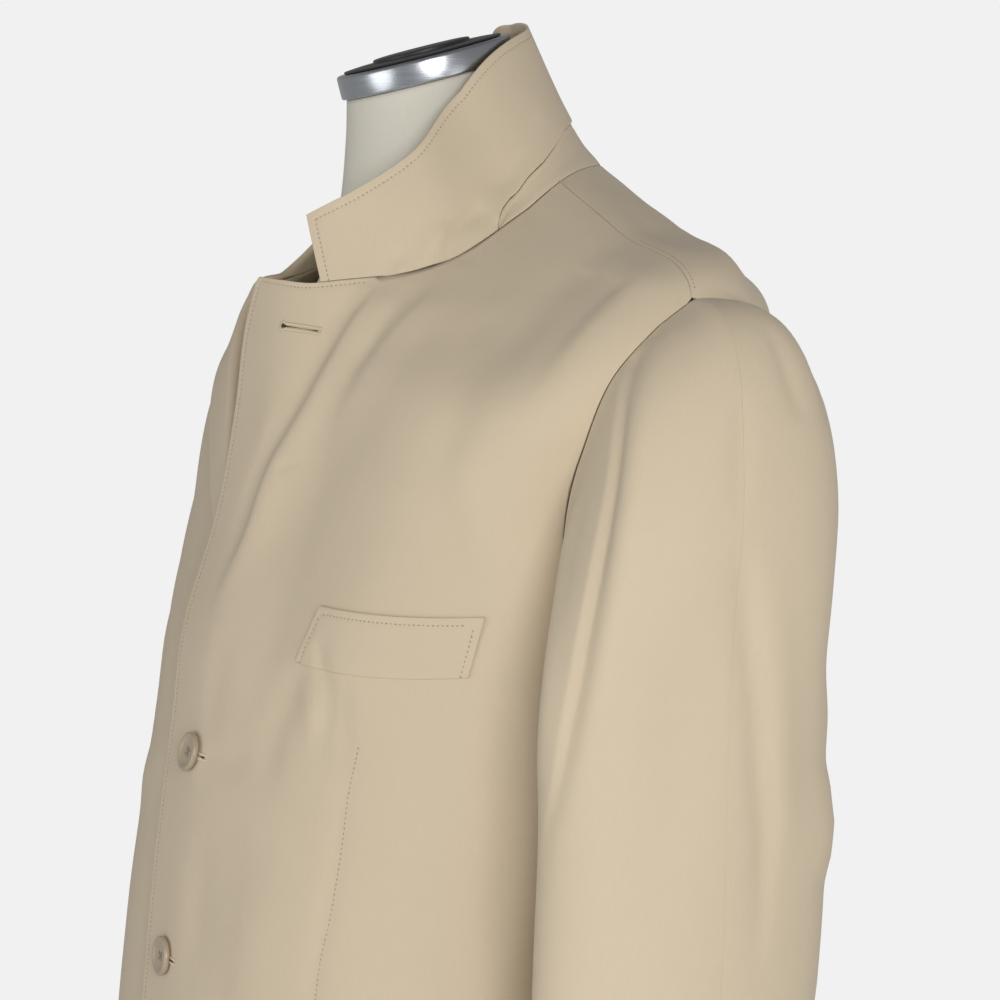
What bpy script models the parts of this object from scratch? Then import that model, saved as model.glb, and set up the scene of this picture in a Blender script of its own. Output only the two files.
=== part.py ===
"""A men's three-button blazer standing on a limbless dress form.

Metres, +Z up. The origin is the centre of the base's underside. The front faces -Y and the
wearer's left is +X. The cloth is worked out from one body surface, given by a table of rings,
and every panel, seam, lapel and pocket is placed in that surface's own coordinates:
an angle round the body (0 front, 90 the wearer's left, 180 back) and a ring number.
"""

import math

import bmesh
import bpy
import numpy as np

# ---- driving sizes -------------------------------------------------------------------------
NECK_HEIGHT = 0.955  # centre-back neck seam above the floor; heights in the tables start from it
CLOTH = 0.0016  # wall of the cloth
GAP = 0.0003  # between pieces at a seam
SEAM_TRIM = 0.0002  # each panel stops this far short of a seam between panels
LAP_LIFT = 0.0034  # the left front lies this far above the right one at the buttons
LEAF_COLUMNS = {1: (2, 4), -1: (5, 3)}  # of a lapel: along its bend, then on to its edge
BUTTON_DIAMETER = 0.020
BUTTON_THICKNESS = 0.0034
# x, height, and how far a button's back stands off the surface, whose facets lie a little lower
BUTTON_PLACES = ((0.0220, -0.2965, -0.0002), (0.0125, -0.4000, GAP), (0.0145, -0.5035, GAP))

SHIRT_BEIGE = (0.60, 0.50, 0.35)
BUTTON_BEIGE = (0.52, 0.43, 0.30)
CANVAS = (0.80, 0.77, 0.69)
CHROME = (0.62, 0.64, 0.66)
DARK_METAL = (0.06, 0.06, 0.065)

# ---- the body surface ----------------------------------------------------------------------
# name, height at front and back, rise over the shoulder, half width, front depth, back depth,
# roundness front and back
RINGS = (
    ("hem", -0.735, -0.735, 0.0, 0.206, 0.157, 0.116, 2.4, 2.4),
    ("hip", -0.620, -0.620, 0.0, 0.202, 0.1650, 0.114, 2.5, 2.4),
    ("low waist", -0.500, -0.500, 0.0, 0.192, 0.1705, 0.102, 2.7, 2.3),
    ("waist", -0.400, -0.400, 0.0, 0.188, 0.1640, 0.098, 2.55, 2.3),
    ("ribs", -0.320, -0.320, 0.0, 0.193, 0.1550, 0.106, 2.25, 2.3),
    ("chest", -0.250, -0.250, 0.0, 0.200, 0.1430, 0.115, 2.15, 2.4),
    ("blades", -0.185, -0.165, 0.0, 0.209, 0.1215, 0.119, 2.15, 2.5),
    ("shoulder", -0.130, -0.085, 0.032, 0.226, 0.1085, 0.114, 2.1, 2.6),
    ("mid shoulder", -0.094, -0.036, 0.0175, 0.150, 0.1025, 0.096, 2.1, 2.3),
    ("neck seam", -0.0605, 0.000, 0.0065, 0.087, 0.0950, 0.072, 2.3, 2.0),
)
RING_VALUES = np.array([ring[1:] for ring in RINGS])
SLANT = 1.6  # how suddenly a ring changes from its front height to its back height
RISE_ANGLE, RISE_SPREAD = 100.0, 34.0  # where the shoulder's ridge is, and how broad
ARMPIT, TIP, NECK = 5.0, 7.0, 9.0  # ring numbers of the armpit, the shoulder tip and the neck seam


def catmull(table, t):
    """Rows of a table read between its rows by a smooth curve, straight past its ends."""
    table = np.asarray(table, float)
    t = np.asarray(t, float)
    last = len(table) - 1
    row = np.clip(np.floor(t).astype(int), 0, last - 1)
    f = (t - row)[..., None]
    before = table[np.maximum(row - 1, 0)]
    start = table[row]
    end = table[row + 1]
    after = table[np.minimum(row + 2, last)]
    slope_a = np.where((row > 0)[..., None], (end - before) / 2, end - start)
    slope_b = np.where((row + 2 <= last)[..., None], (after - start) / 2, end - start)
    inside = (
        (2 * f**3 - 3 * f**2 + 1) * start
        + (f**3 - 2 * f**2 + f) * slope_a
        + (3 * f**2 - 2 * f**3) * end
        + (f**3 - f**2) * slope_b
    )
    below = start + f * slope_a
    beyond = end + (f - 1) * slope_b
    return np.where(f < 0, below, np.where(f > 1, beyond, inside))


def read_at(places, table, x):
    """A table whose rows stand at uneven places, read smoothly at x."""
    places, table, x = np.asarray(places, float), np.asarray(table, float), np.asarray(x, float)
    gap = np.diff(places)[:, None]
    rise = np.diff(table, axis=0) / gap
    inner = (rise[:-1] * gap[1:] + rise[1:] * gap[:-1]) / (gap[:-1] + gap[1:])
    slope = np.concatenate([rise[:1], inner, rise[-1:]])
    row = np.clip(np.searchsorted(places, x, side="right") - 1, 0, len(places) - 2)
    wide = gap[row]
    f = np.clip((x - places[row])[..., None] / wide, 0, 1)
    return (
        (2 * f**3 - 3 * f**2 + 1) * table[row]
        + (f**3 - 2 * f**2 + f) * slope[row] * wide
        + (3 * f**2 - 2 * f**3) * table[row + 1]
        + (f**3 - f**2) * slope[row + 1] * wide
    )


def smooth(x, low=0.0, high=1.0):
    """A step from 0 at low to 1 at high with soft ends."""
    f = np.clip((np.asarray(x, float) - low) / (high - low), 0, 1)
    return f * f * (3 - 2 * f)


def unit(vectors):
    length = np.linalg.norm(vectors, axis=-1, keepdims=True)
    return vectors / np.maximum(length, 1e-12)


def body_point(angle, t):
    """The body surface at an angle in degrees and a ring number."""
    angle, t = np.broadcast_arrays(np.asarray(angle, float), np.asarray(t, float))
    front_z, back_z, rise, width, front_d, back_d, front_n, back_n = np.moveaxis(
        catmull(RING_VALUES, t), -1, 0
    )
    s = np.sin(np.radians(angle))
    c = np.cos(np.radians(angle))
    ahead = c > 0
    power = 2 / np.where(ahead, front_n, back_n)
    x = width * np.sign(s) * np.abs(s) ** power
    y = -np.where(ahead, front_d, back_d) * np.sign(c) * np.abs(c) ** power
    # the height goes by the true way round, so that it runs on smoothly past the side
    round_s, round_c = np.abs(s) ** power, np.sign(c) * np.abs(c) ** power
    c = round_c / np.hypot(round_s, round_c)
    behind = (1 - np.tanh(SLANT * c) / math.tanh(SLANT)) / 2
    from_front = np.degrees(np.arccos(np.clip(c, -1, 1)))
    ridge = np.exp(-(((from_front - RISE_ANGLE) / RISE_SPREAD) ** 2))
    z = front_z + (back_z - front_z) * behind + rise * ridge
    return np.stack([x, y, z], -1)


def normals_of(place, a, b, step_a, step_b, outward=1.0):
    """Unit normals of a surface place(a, b), from small steps to each side."""
    along_a = place(a + step_a, b) - place(a - step_a, b)
    along_b = place(a, b + step_b) - place(a, b - step_b)
    return unit(np.cross(along_a, along_b)) * outward


def body_normal(angle, t):
    return normals_of(body_point, np.asarray(angle, float), np.asarray(t, float), 0.4, 0.02)


# ---- folds that are large enough to belong to the garment's form ---------------------------
# ends in the front view (x, height), bow to the side, half width, depth (+ is a ridge)
FRONT_FOLDS = (
    ("shoulder hollow", 0.112, -0.120, 0.050, -0.200, 0.004, 0.020, -0.0018),
    ("chest fullness", 0.150, -0.150, 0.120, -0.260, 0.006, 0.030, 0.0025),
    ("drag to the button", 0.100, -0.330, 0.010, -0.300, 0.003, 0.012, 0.0016),
    ("under the pocket", 0.085, -0.300, 0.100, -0.250, -0.003, 0.010, -0.0022),
)


def fold_heights(folds, x, z):
    """The folds' summed height, each one tapering out at its ends."""
    total = np.zeros(np.broadcast(x, z).shape)
    for _, x0, z0, x1, z1, bow, half_width, depth in folds:
        dx, dz = x1 - x0, z1 - z0
        length = math.hypot(dx, dz)
        along = ((x - x0) * dx + (z - z0) * dz) / length**2
        across = ((x - x0) * dz - (z - z0) * dx) / length
        across = across - bow * 4 * along * (1 - along)
        ends = smooth(along, -0.25, 0.2) * (1 - smooth(along, 0.8, 1.25))
        total = total + depth * ends * np.exp(-((across / half_width) ** 2))
    return total


# ---- fronts --------------------------------------------------------------------------------
# The fold line of the lapel and the front edge, seen from the front on the wearer's left.
BREAK_POINT = np.array([-0.0135, -0.243])  # where the lapel starts to turn, above the top button
ROLL_TOP = np.array([0.067, -0.0590])  # where the roll line meets the neck seam
ROLL_DIRECTION = (ROLL_TOP - BREAK_POINT) / np.linalg.norm(ROLL_TOP - BREAK_POINT)
LEAF_SIDE = np.array([-ROLL_DIRECTION[1], ROLL_DIRECTION[0]])
# height, x of the front edge
FRONT_EDGE = (
    (-0.735, -0.006),
    (-0.690, -0.015),
    (-0.600, -0.017),
    (-0.300, -0.017),
    (-0.200, -0.0145),
    (-0.130, -0.0100),
    (-0.085, -0.0048),
    (-0.0595, 0.0015),
)
# x and height of the gorge seam over the lapel, seen from the front
GORGE = ((0.001, -0.0612), (0.020, -0.0632), (0.040, -0.0648), (0.054, -0.0624), (0.067, -0.0590))
# the neck seam is this many rings low at the front, up to a first angle, and back by a second
NECK_DIP, DIP_FROM, DIP_TO = 0.075, 66.0, 90.0
# side of the body: largest turn in degrees, length over which the turn grows, bend radius at
# the break and at the neck, share of the leaf's width left out near the break
LAPELS = {
    1: {"turn": 9.0, "growth": 0.20, "radius": (0.030, 0.030), "narrow": 0.0},
    -1: {"turn": 183.0, "growth": 0.050, "radius": (0.0012, 0.0036), "narrow": 0.70},
}
OPEN_LIFT = 0.0054  # what the left front adds to its lift where the right lapel lies under it

# side seam, armhole and shoulder seam as (angle, ring number)
SIDE_SEAM = ((103, 0), (104, 1.5), (103, 3), (101, 4.2), (99, ARMPIT))
ARMHOLE_FRONT = (
    (99, ARMPIT), (89, 5.06), (81, 5.28), (76, 5.62), (74, 6.02), (74, 6.45), (79, 6.84), (95, TIP),
)
ARMHOLE_BACK = (
    (99, ARMPIT), (108, 5.08), (114, 5.35), (118, 5.75), (120, 6.15), (118, 6.55), (109, 6.88), (95, TIP),
)
SHOULDER_SEAM = ((95, TIP), (97.5, 7.6), (101, 8.3), (105, NECK))


def along_curve(points, count):
    """count + 1 places evenly along a table of points."""
    return catmull(points, np.linspace(0, len(points) - 1, count + 1))


def outer_edge(armhole, rows):
    """The side seam, armhole and shoulder seam as one run of (angle, t), bottom to top."""
    side_rows, armhole_rows, shoulder_rows = rows
    run = [
        along_curve(SIDE_SEAM, side_rows),
        along_curve(armhole, armhole_rows)[1:],
        along_curve(SHOULDER_SEAM, shoulder_rows)[1:],
    ]
    return np.concatenate(run)


def angle_at(x, t):
    """The front's angle at a distance x from the centre on ring t."""
    values = catmull(RING_VALUES, t)
    share = np.clip(np.abs(x) / values[..., 3], 0, 1)
    return np.degrees(np.sign(x) * np.arcsin(share ** (values[..., 6] / 2)))


def ring_at(x, z):
    """The ring number of the front at a distance x from the centre and a height z."""
    low = np.full(np.broadcast(x, z).shape, -0.3)
    high = np.full(low.shape, NECK + 0.9)
    for _ in range(34):
        middle = (low + high) / 2
        above = body_point(angle_at(x, middle), middle)[..., 2] > z
        high = np.where(above, middle, high)
        low = np.where(above, low, middle)
    return (low + high) / 2


def neck_ring(angle):
    """The ring number of the neck seam."""
    return NECK - NECK_DIP * (1 - smooth(np.abs(angle), DIP_FROM, DIP_TO))


def gorge_height(x):
    places, heights = np.array(GORGE).T
    return read_at(places, heights[:, None], x)[..., 0]


def lap_lift(x, z):
    """The left front rides on the right one where they overlap, higher over its lapel."""
    lift = LAP_LIFT + OPEN_LIFT * smooth(z, -0.290, -0.215)
    return lift * (1 - smooth(x, 0.022, 0.080))


def front_point(side, angle, t):
    """A front panel's outer face. side is 1 on the wearer's left, -1 on the right."""
    base = body_point(angle, t)
    lift = fold_heights(FRONT_FOLDS, base[..., 0], base[..., 2])
    if side > 0:
        lift = lift + lap_lift(base[..., 0], base[..., 2])
    return base + body_normal(angle, t) * lift[..., None]


def front_at(side, x, z):
    t = ring_at(x, z)
    return front_point(side, angle_at(x, t), t)


def front_normal_at(side, x, z):
    return -normals_of(lambda a, b: front_at(side, a, b), x, z, 0.001, 0.001, -1.0)


def along_roll(x, z):
    """Distance from the break point along the roll line."""
    return (x - BREAK_POINT[0]) * ROLL_DIRECTION[0] + (z - BREAK_POINT[1]) * ROLL_DIRECTION[1]


def past_roll(x, z):
    """Distance past the roll line, towards the front edge."""
    return (x - BREAK_POINT[0]) * LEAF_SIDE[0] + (z - BREAK_POINT[1]) * LEAF_SIDE[1]


def lapel_bend(side, along):
    """The lapel's turn in radians and its bend radius at a distance along the roll line."""
    shape = LAPELS[side]
    grown = smooth(along, 0.0, shape["growth"])
    low, high = shape["radius"]
    return math.radians(shape["turn"]) * grown, low + (high - low) * smooth(along, 0.0, 0.15)


def lapel_point(side, x, z):
    """The front view's (x, z) turned about the roll line and laid on the front."""
    past = past_roll(x, z)
    along = along_roll(x, z)
    turn, radius = lapel_bend(side, along)
    bend = np.clip(past / radius, 0, turn)
    rest = np.maximum(past - radius * turn, 0)
    flat = radius * np.sin(bend) + rest * np.cos(turn) + np.minimum(past, 0)
    height = radius * (1 - np.cos(bend)) + rest * np.sin(turn)
    new_x = BREAK_POINT[0] + along * ROLL_DIRECTION[0] + flat * LEAF_SIDE[0]
    new_z = BREAK_POINT[1] + along * ROLL_DIRECTION[1] + flat * LEAF_SIDE[1]
    return front_at(side, new_x, new_z) + front_normal_at(side, new_x, new_z) * height[..., None]


def lapel_normal(side, x, z):
    return normals_of(lambda a, b: lapel_point(side, a, b), x, z, 0.0004, 0.0004)


def edge_x(z):
    heights = np.array([row[0] for row in FRONT_EDGE])
    places = np.array([row[1] for row in FRONT_EDGE])
    t = np.interp(z, heights, np.arange(len(heights)))
    return catmull(places[:, None], t)[..., 0]


def leaf_shares(side, x_line, z_line, width, bend_columns, flat_columns):
    """Shares of the leaf's width for its columns, close together where the lapel bends."""
    turn, radius = lapel_bend(side, along_roll(x_line, z_line))
    bend = np.clip(turn * radius / width, 0.15, 0.70)[:, None]
    inner = bend * np.linspace(0, 1, bend_columns + 1)[1:]
    outer = bend + (1 - bend) * np.linspace(0, 1, flat_columns + 1)[1:]
    return np.concatenate([inner, outer], 1)


def front_grid(side, rows, body_columns, bend_columns, flat_columns):
    """Outer face points and normals of a front, rows from hem to neck, columns side to edge."""
    outer = outer_edge(ARMHOLE_FRONT, rows)
    count = len(outer)
    share = np.linspace(0, 1, count)
    side_share = rows[0] / (count - 1)
    # heights of the fold line's rows: level with the side seam, then spread up to the neck
    low_rows = share <= side_share + 1e-9
    side_z = body_point(0.0, outer[:, 1])[..., 2]
    start_z = side_z[rows[0]]
    high_share = np.clip((share - side_share) / (1 - side_share), 0, 1)
    z_line = np.where(low_rows, side_z, start_z + (ROLL_TOP[1] - start_z) * high_share)
    on_roll = (z_line - BREAK_POINT[1]) / ROLL_DIRECTION[1]
    x_line = BREAK_POINT[0] + np.maximum(on_roll, 0) * ROLL_DIRECTION[0]
    x_line = x_line + 0.032 * (1 - smooth(z_line, -0.33, -0.25))
    t_line = ring_at(x_line, z_line)
    t_line[-1] = NECK
    angle_line = angle_at(x_line, t_line)
    body = np.linspace(0, 1, body_columns + 1)[None, :]
    angle = outer[:, :1] + (angle_line[:, None] - outer[:, :1]) * body
    t = outer[:, 1:] + (t_line[:, None] - outer[:, 1:]) * smooth_run(body)
    t = t - (NECK - neck_ring(angle)) * smooth(t, NECK - 1.0, NECK)
    points = front_point(side, angle, t)
    normals = normals_of(lambda a, b: front_point(side, a, b), angle, t, 0.3, 0.015)
    # the leaf: from the fold line to the front edge, in the front view
    z_edge = z_line + (FRONT_EDGE[-1][0] - ROLL_TOP[1]) * high_share
    x_edge = edge_x(z_edge)
    along = along_roll(x_line, z_line)
    narrow = LAPELS[side]["narrow"] * smooth(along, -0.035, 0.0) * (1 - smooth(along, 0.02, 0.12))
    x_edge = x_line + (x_edge - x_line) * (1 - narrow)
    z_edge = z_line + (z_edge - z_line) * (1 - narrow)
    width = past_roll(x_edge, z_edge) - past_roll(x_line, z_line)
    leaf = leaf_shares(side, x_line, z_line, width, bend_columns, flat_columns)
    x = x_line[:, None] + (x_edge - x_line)[:, None] * leaf
    z = z_line[:, None] + (z_edge - z_line)[:, None] * leaf
    near_top = smooth(z_line, -0.105, z_line[-1])[:, None]
    z = z + near_top * (gorge_height(x) - z[-1:])
    points = np.concatenate([points, lapel_point(side, x, z)], 1)
    normals = np.concatenate([normals, lapel_normal(side, x, z)], 1)
    return drawn_in(points, 0, 1), normals


def drawn_in(points, edge, inside):
    """The grid with one edge column moved inwards by half a seam's gap."""
    points = points.copy()
    towards = unit(points[:, inside] - points[:, edge])
    points[:, edge] = points[:, edge] + towards * SEAM_TRIM
    return points


def smooth_run(f):
    """Evenly spaced shares, eased a little at both ends."""
    return 0.6 * f + 0.4 * f * f * (3 - 2 * f)


# ---- backs ---------------------------------------------------------------------------------
def back_point(angle, t):
    return body_point(angle, t)


def back_grid(rows, columns):
    outer = outer_edge(ARMHOLE_BACK, rows)
    centre = np.linspace(0, NECK, len(outer))
    centre = 0.5 * centre + 0.5 * outer[:, 1]
    across = np.linspace(0, 1, columns + 1)[None, :]
    angle = outer[:, :1] + (180 - outer[:, :1]) * across
    t = outer[:, 1:] + (centre[:, None] - outer[:, 1:]) * smooth_run(across)
    points = back_point(angle, t)
    normals = normals_of(back_point, angle, t, 0.08, 0.015)
    points = drawn_in(points, 0, 1)
    return drawn_in(points, -1, -2), normals


# ---- sleeves -------------------------------------------------------------------------------
# height, centre x, centre y, half width in x, half depth in y
SLEEVE_SECTIONS = (
    ("bicep", -0.285, 0.2490, 0.0010, 0.0400, 0.0710),
    ("upper arm", -0.380, 0.2510, -0.0030, 0.0380, 0.0710),
    ("elbow", -0.470, 0.2535, -0.0130, 0.0360, 0.0680),
    ("forearm", -0.575, 0.2560, -0.0300, 0.0330, 0.0640),
    ("cuff", -0.690, 0.2580, -0.0540, 0.0300, 0.0600),
)
# share of the way round the armhole (0 at the tip, through the front, 0.5 at the armpit),
# direction in which the cloth leaves the seam, and how far it runs before it turns down
SLEEVE_HEAD = (
    (0.000, 1.00, 0.00, 0.02, 0.105),
    (0.125, 1.00, -0.25, -0.10, 0.105),
    (0.250, 0.90, -0.55, -0.30, 0.085),
    (0.375, 0.80, -0.30, -0.75, 0.050),
    (0.500, 0.35, 0.00, -1.00, 0.030),
    (0.625, 0.80, 0.30, -0.75, 0.050),
    (0.750, 0.90, 0.55, -0.27, 0.072),
    (0.875, 1.00, 0.40, 0.10, 0.104),
    (1.000, 1.00, 0.00, 0.02, 0.105),
)
DROP_TENSION = 0.14  # how strongly the sleeve's rows straighten into the bicep ring
GATHERS = {"count": 11, "depth": 0.0012, "reach": 0.30}


def armhole_place(share):
    """(angle, t) of the armhole, by the share of the way round from the tip."""
    share = np.asarray(share, float) % 1.0
    front = catmull(ARMHOLE_FRONT, (1 - np.clip(share * 2, 0, 1)) * (len(ARMHOLE_FRONT) - 1))
    back = catmull(ARMHOLE_BACK, np.clip(share * 2 - 1, 0, 1) * (len(ARMHOLE_BACK) - 1))
    return np.where((share <= 0.5)[..., None], front, back)


def sleeve_point(share, down):
    """The left sleeve's outer face. down: 0 armhole, 1 bicep, then one per section."""
    share, down = np.broadcast_arrays(np.asarray(share, float), np.asarray(down, float))
    place = armhole_place(share)
    start = body_point(place[..., 0], place[..., 1])
    head = catmull(np.array([row[1:] for row in SLEEVE_HEAD]), (share % 1.0) * 8)
    direction = unit(head[..., :3])
    start = start + direction * 0.0012
    turn = 2 * math.pi * (share % 1.0)
    section = catmull(np.array([row[1:] for row in SLEEVE_SECTIONS]), np.maximum(down - 1, 0))
    z, cx, cy, hx, hy = np.moveaxis(section, -1, 0)
    ring = np.stack([cx + hx * np.cos(turn), cy - hy * np.sin(turn), z], -1)
    f = np.clip(down, 0, 1)[..., None]
    drop = np.array([0.0, 0.0, -1.0])
    reach = head[..., 3:]
    height = start[..., 2:] - ring[..., 2:]
    hermite = (
        (2 * f**3 - 3 * f**2 + 1) * start
        + (f**3 - 2 * f**2 + f) * direction * reach * 2.2
        + (3 * f**2 - 2 * f**3) * ring
        + (f**3 - f**2) * drop * (height * 0.9 + DROP_TENSION * 0.2)
    )
    point = np.where(f < 1, hermite, ring)
    return point


def sleeve_fold(share, down):
    """Gathers in the head and the long soft folds below it."""
    share = np.asarray(share, float) % 1.0
    from_tip = np.minimum(share, 1 - share)
    head = 1 - smooth(from_tip, 0.10, 0.20)
    fade = np.exp(-((np.asarray(down) / GATHERS["reach"]) ** 2)) * smooth(down, 0.0, 0.06)
    waves = np.cos(2 * math.pi * GATHERS["count"] * share * 2)
    gathers = GATHERS["depth"] * head * fade * waves
    ridge = 0.0040 * np.exp(-(((share - 0.175 - 0.012 * down) / 0.035) ** 2)) * smooth(down, 0.25, 0.9)
    crease = -0.0030 * np.exp(-(((share - 0.955) / 0.030) ** 2)) * smooth(down, 0.3, 1.0)
    return gathers + ridge + crease


def sleeve_surface(share, down):
    normal = normals_of(sleeve_point, share, down, 0.002, 0.01)
    return sleeve_point(share, down) + normal * sleeve_fold(share, down)[..., None]


def sleeve_grid(around, head_rows, arm_rows):
    # closer spacing across the gathered head
    even = np.linspace(0, 1, around, endpoint=False)
    share = even - 0.055 * np.sin(2 * math.pi * even)
    down = np.concatenate([
        np.linspace(0, 1, head_rows + 1) ** 1.15,
        np.linspace(1, len(SLEEVE_SECTIONS), arm_rows + 1)[1:],
    ])
    share = share[None, :]
    down = down[:, None]
    share, down = np.broadcast_arrays(share, down)
    points = sleeve_surface(share, down)
    normals = normals_of(sleeve_surface, share, down, 0.003, 0.012)
    return points, normals


# ---- meshes --------------------------------------------------------------------------------
def new_object(name, points, faces, colour, metallic=0.0, roughness=0.85, smooth_shade=True):
    mesh = bpy.data.meshes.new(name)
    mesh.from_pydata([tuple(p) for p in points], [], [tuple(f) for f in faces])
    mesh.update()
    made = bpy.data.objects.new(name, mesh)
    bpy.context.scene.collection.objects.link(made)
    if smooth_shade:
        mesh.shade_smooth()
        mesh.set_sharp_from_angle(angle=math.radians(40))
    material = bpy.data.materials.new(name)
    material.use_nodes = True
    shader = material.node_tree.nodes["Principled BSDF"]
    shader.inputs["Base Color"].default_value = (*colour, 1.0)
    shader.inputs["Roughness"].default_value = roughness
    shader.inputs["Metallic"].default_value = metallic
    mesh.materials.append(material)
    return made


def raise_to_floor(points):
    """From heights measured at the neck seam to heights above the floor."""
    return points + np.array([0.0, 0.0, NECK_HEIGHT])


def walled(name, points, normals, thickness=CLOTH, closed=False, mirror=False):
    """A grid of outer points given a wall inwards, as one closed solid."""
    rows, columns = points.shape[:2]
    outer = raise_to_floor(points).reshape(-1, 3)
    inner = raise_to_floor(points - normals * thickness).reshape(-1, 3)
    vertices = np.concatenate([outer, inner])
    offset = rows * columns
    wrap = columns if closed else columns - 1
    faces = []
    for i in range(rows - 1):
        for j in range(wrap):
            a = i * columns + j
            b = i * columns + (j + 1) % columns
            c = b + columns
            d = a + columns
            faces.append((a, b, c, d))
            faces.append((offset + d, offset + c, offset + b, offset + a))
    for j in range(wrap):
        a, b = j, (j + 1) % columns
        faces.append((b, a, offset + a, offset + b))
        c, d = a + (rows - 1) * columns, b + (rows - 1) * columns
        faces.append((c, d, offset + d, offset + c))
    if not closed:
        for i in range(rows - 1):
            a, b = i * columns, (i + 1) * columns
            faces.append((a, b, offset + b, offset + a))
            c, d = a + columns - 1, b + columns - 1
            faces.append((d, c, offset + c, offset + d))
    if mirror:
        vertices = vertices * np.array([-1.0, 1.0, 1.0])
    made = new_object(name, vertices, faces, SHIRT_BEIGE)
    turn_outwards(made)
    return made


def turn_outwards(made):
    """Normals recalculated so that every face points out of the solid."""
    mesh = made.data
    work = bmesh.new()
    work.from_mesh(mesh)
    bmesh.ops.recalc_face_normals(work, faces=work.faces)
    work.to_mesh(mesh)
    work.free()


# ---- collar --------------------------------------------------------------------------------
# angle round the neck; from the seam to the crest (the fold between stand and leaf) and from
# the seam to the free edge, as x, y, z
COLLAR_STATIONS = (
    ("left notch", 24.0, -0.0052, -0.0018, 0.0165, -0.0110, -0.0032, 0.0333),
    ("left throat", 42.0, -0.0070, -0.0042, 0.0186, -0.0150, -0.0105, 0.0401),
    ("left front", 66.0, -0.0080, -0.0040, 0.0201, -0.0210, -0.0100, 0.0532),
    ("left side", 84.0, -0.0105, -0.0060, 0.0168, -0.0305, -0.0190, 0.0582),
    ("left shoulder", 103.0, -0.0120, -0.0080, 0.0171, -0.0330, -0.0265, 0.0604),
    ("back left", 135.0, -0.0110, -0.0110, 0.0222, -0.0300, -0.0270, 0.0692),
    ("back", 180.0, 0.0000, -0.0150, 0.0250, 0.0000, -0.0390, 0.0745),
    ("back right", 206.0, 0.0080, -0.0130, 0.0260, 0.0160, -0.0330, 0.0700),
    ("turning over", 229.0, 0.0125, -0.0090, 0.0280, -0.0060, 0.0130, 0.0400),
    ("right shoulder", 250.0, 0.0130, -0.0050, 0.0290, -0.0150, 0.0090, 0.0010),
    ("right side", 272.0, 0.0120, 0.0000, 0.0250, -0.0200, 0.0040, -0.0020),
    ("right front", 294.0, 0.0070, 0.0010, 0.0150, -0.0300, 0.0080, -0.0070),
    ("right throat", 312.0, -0.0040, 0.0010, 0.0050, -0.0340, 0.0110, -0.0035),
    ("right notch", 336.0, -0.0130, 0.0040, 0.0020, -0.0250, 0.0110, 0.0000),
)
COLLAR_VALUES = np.array([row[1:] for row in COLLAR_STATIONS])
SEAM_STEP = 0.0013  # the collar starts this far past the panels' top edge
# the stand's top edge: angle, share of the collar's width
STAND_LINE = (
    (83.2, 0.080), (84.6, 0.165), (88.4, 0.285), (95.9, 0.342), (105.3, 0.352), (127.1, 0.462),
    (180.0, 0.500), (206.0, 0.500), (229.0, 0.500), (250.0, 0.420), (262.0, 0.300), (275.0, 0.090),
)
STAND_TIP = 0.25  # degrees from the leaf to the stand at its two ends
STAND_SEAM = 0.0055  # half the seam between stand and leaf, as a share of the width


def neck_seam(angle):
    """The edge of the panels that the collar is sewn to, from the left notch round the back."""
    angle = np.asarray(angle, float)
    side = np.where(angle < 180, 1, -1)
    front_angle = np.where(angle < 180, angle, 360 - angle)
    ring = neck_ring(front_angle)
    plain = body_point(front_angle, ring)
    onward = unit(plain - body_point(front_angle, ring - 0.05)) * SEAM_STEP
    seam = plain + onward
    for one in (1, -1):
        panel = front_point(one, front_angle, ring)
        x = panel[..., 0]
        leaf = lapel_point(one, x, gorge_height(np.minimum(x, GORGE[-1][0])) + SEAM_STEP)
        mix = smooth(x, ROLL_TOP[0] - 0.001, ROLL_TOP[0] + 0.006)[..., None]
        panel = leaf * (1 - mix) + (panel + onward) * mix
        use = (side == one) & (front_angle < SHOULDER_SEAM[-1][0])
        seam = np.where(use[..., None], panel, seam)
    return seam * np.stack([side, np.ones_like(side), np.ones_like(side)], -1)


def collar_point(angle, across):
    """The collar's outer face when it is turned up. across: 0 neck seam, 1 free edge."""
    angle, across = np.broadcast_arrays(np.asarray(angle, float), np.asarray(across, float))
    values = read_at(COLLAR_VALUES[:, 0], COLLAR_VALUES, angle)
    seam = neck_seam(angle)
    crest = seam + values[..., 1:4]
    edge = seam + values[..., 4:7]
    f = (np.clip(across, -0.2, 1.2) * 2)[..., None]
    low = f < 1
    g = np.where(low, f, f - 1)
    start = np.where(low, seam, crest)
    end = np.where(low, crest, edge)
    slope_a = np.where(low, crest - seam, (edge - seam) / 2)
    slope_b = np.where(low, (edge - seam) / 2, edge - crest)
    return (
        (2 * g**3 - 3 * g**2 + 1) * start
        + (g**3 - 2 * g**2 + g) * slope_a
        + (3 * g**2 - 2 * g**3) * end
        + (g**3 - g**2) * slope_b
    )


def stand_share(angle):
    """The stand's share of the collar's width."""
    places, shares = np.array(STAND_LINE).T
    return np.interp(angle, places, shares, left=0.0, right=0.0)


def collar_grid(angle, low, high, rows):
    """Points and normals of the collar at these angles, between two shares of its width."""
    across = low + (high - low) * np.linspace(0, 1, rows + 1)[:, None]
    angle = np.broadcast_to(angle, across.shape)
    points = collar_point(angle, across)
    normals = normals_of(collar_point, angle, across, 0.4, 0.02)
    return points, normals


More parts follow.
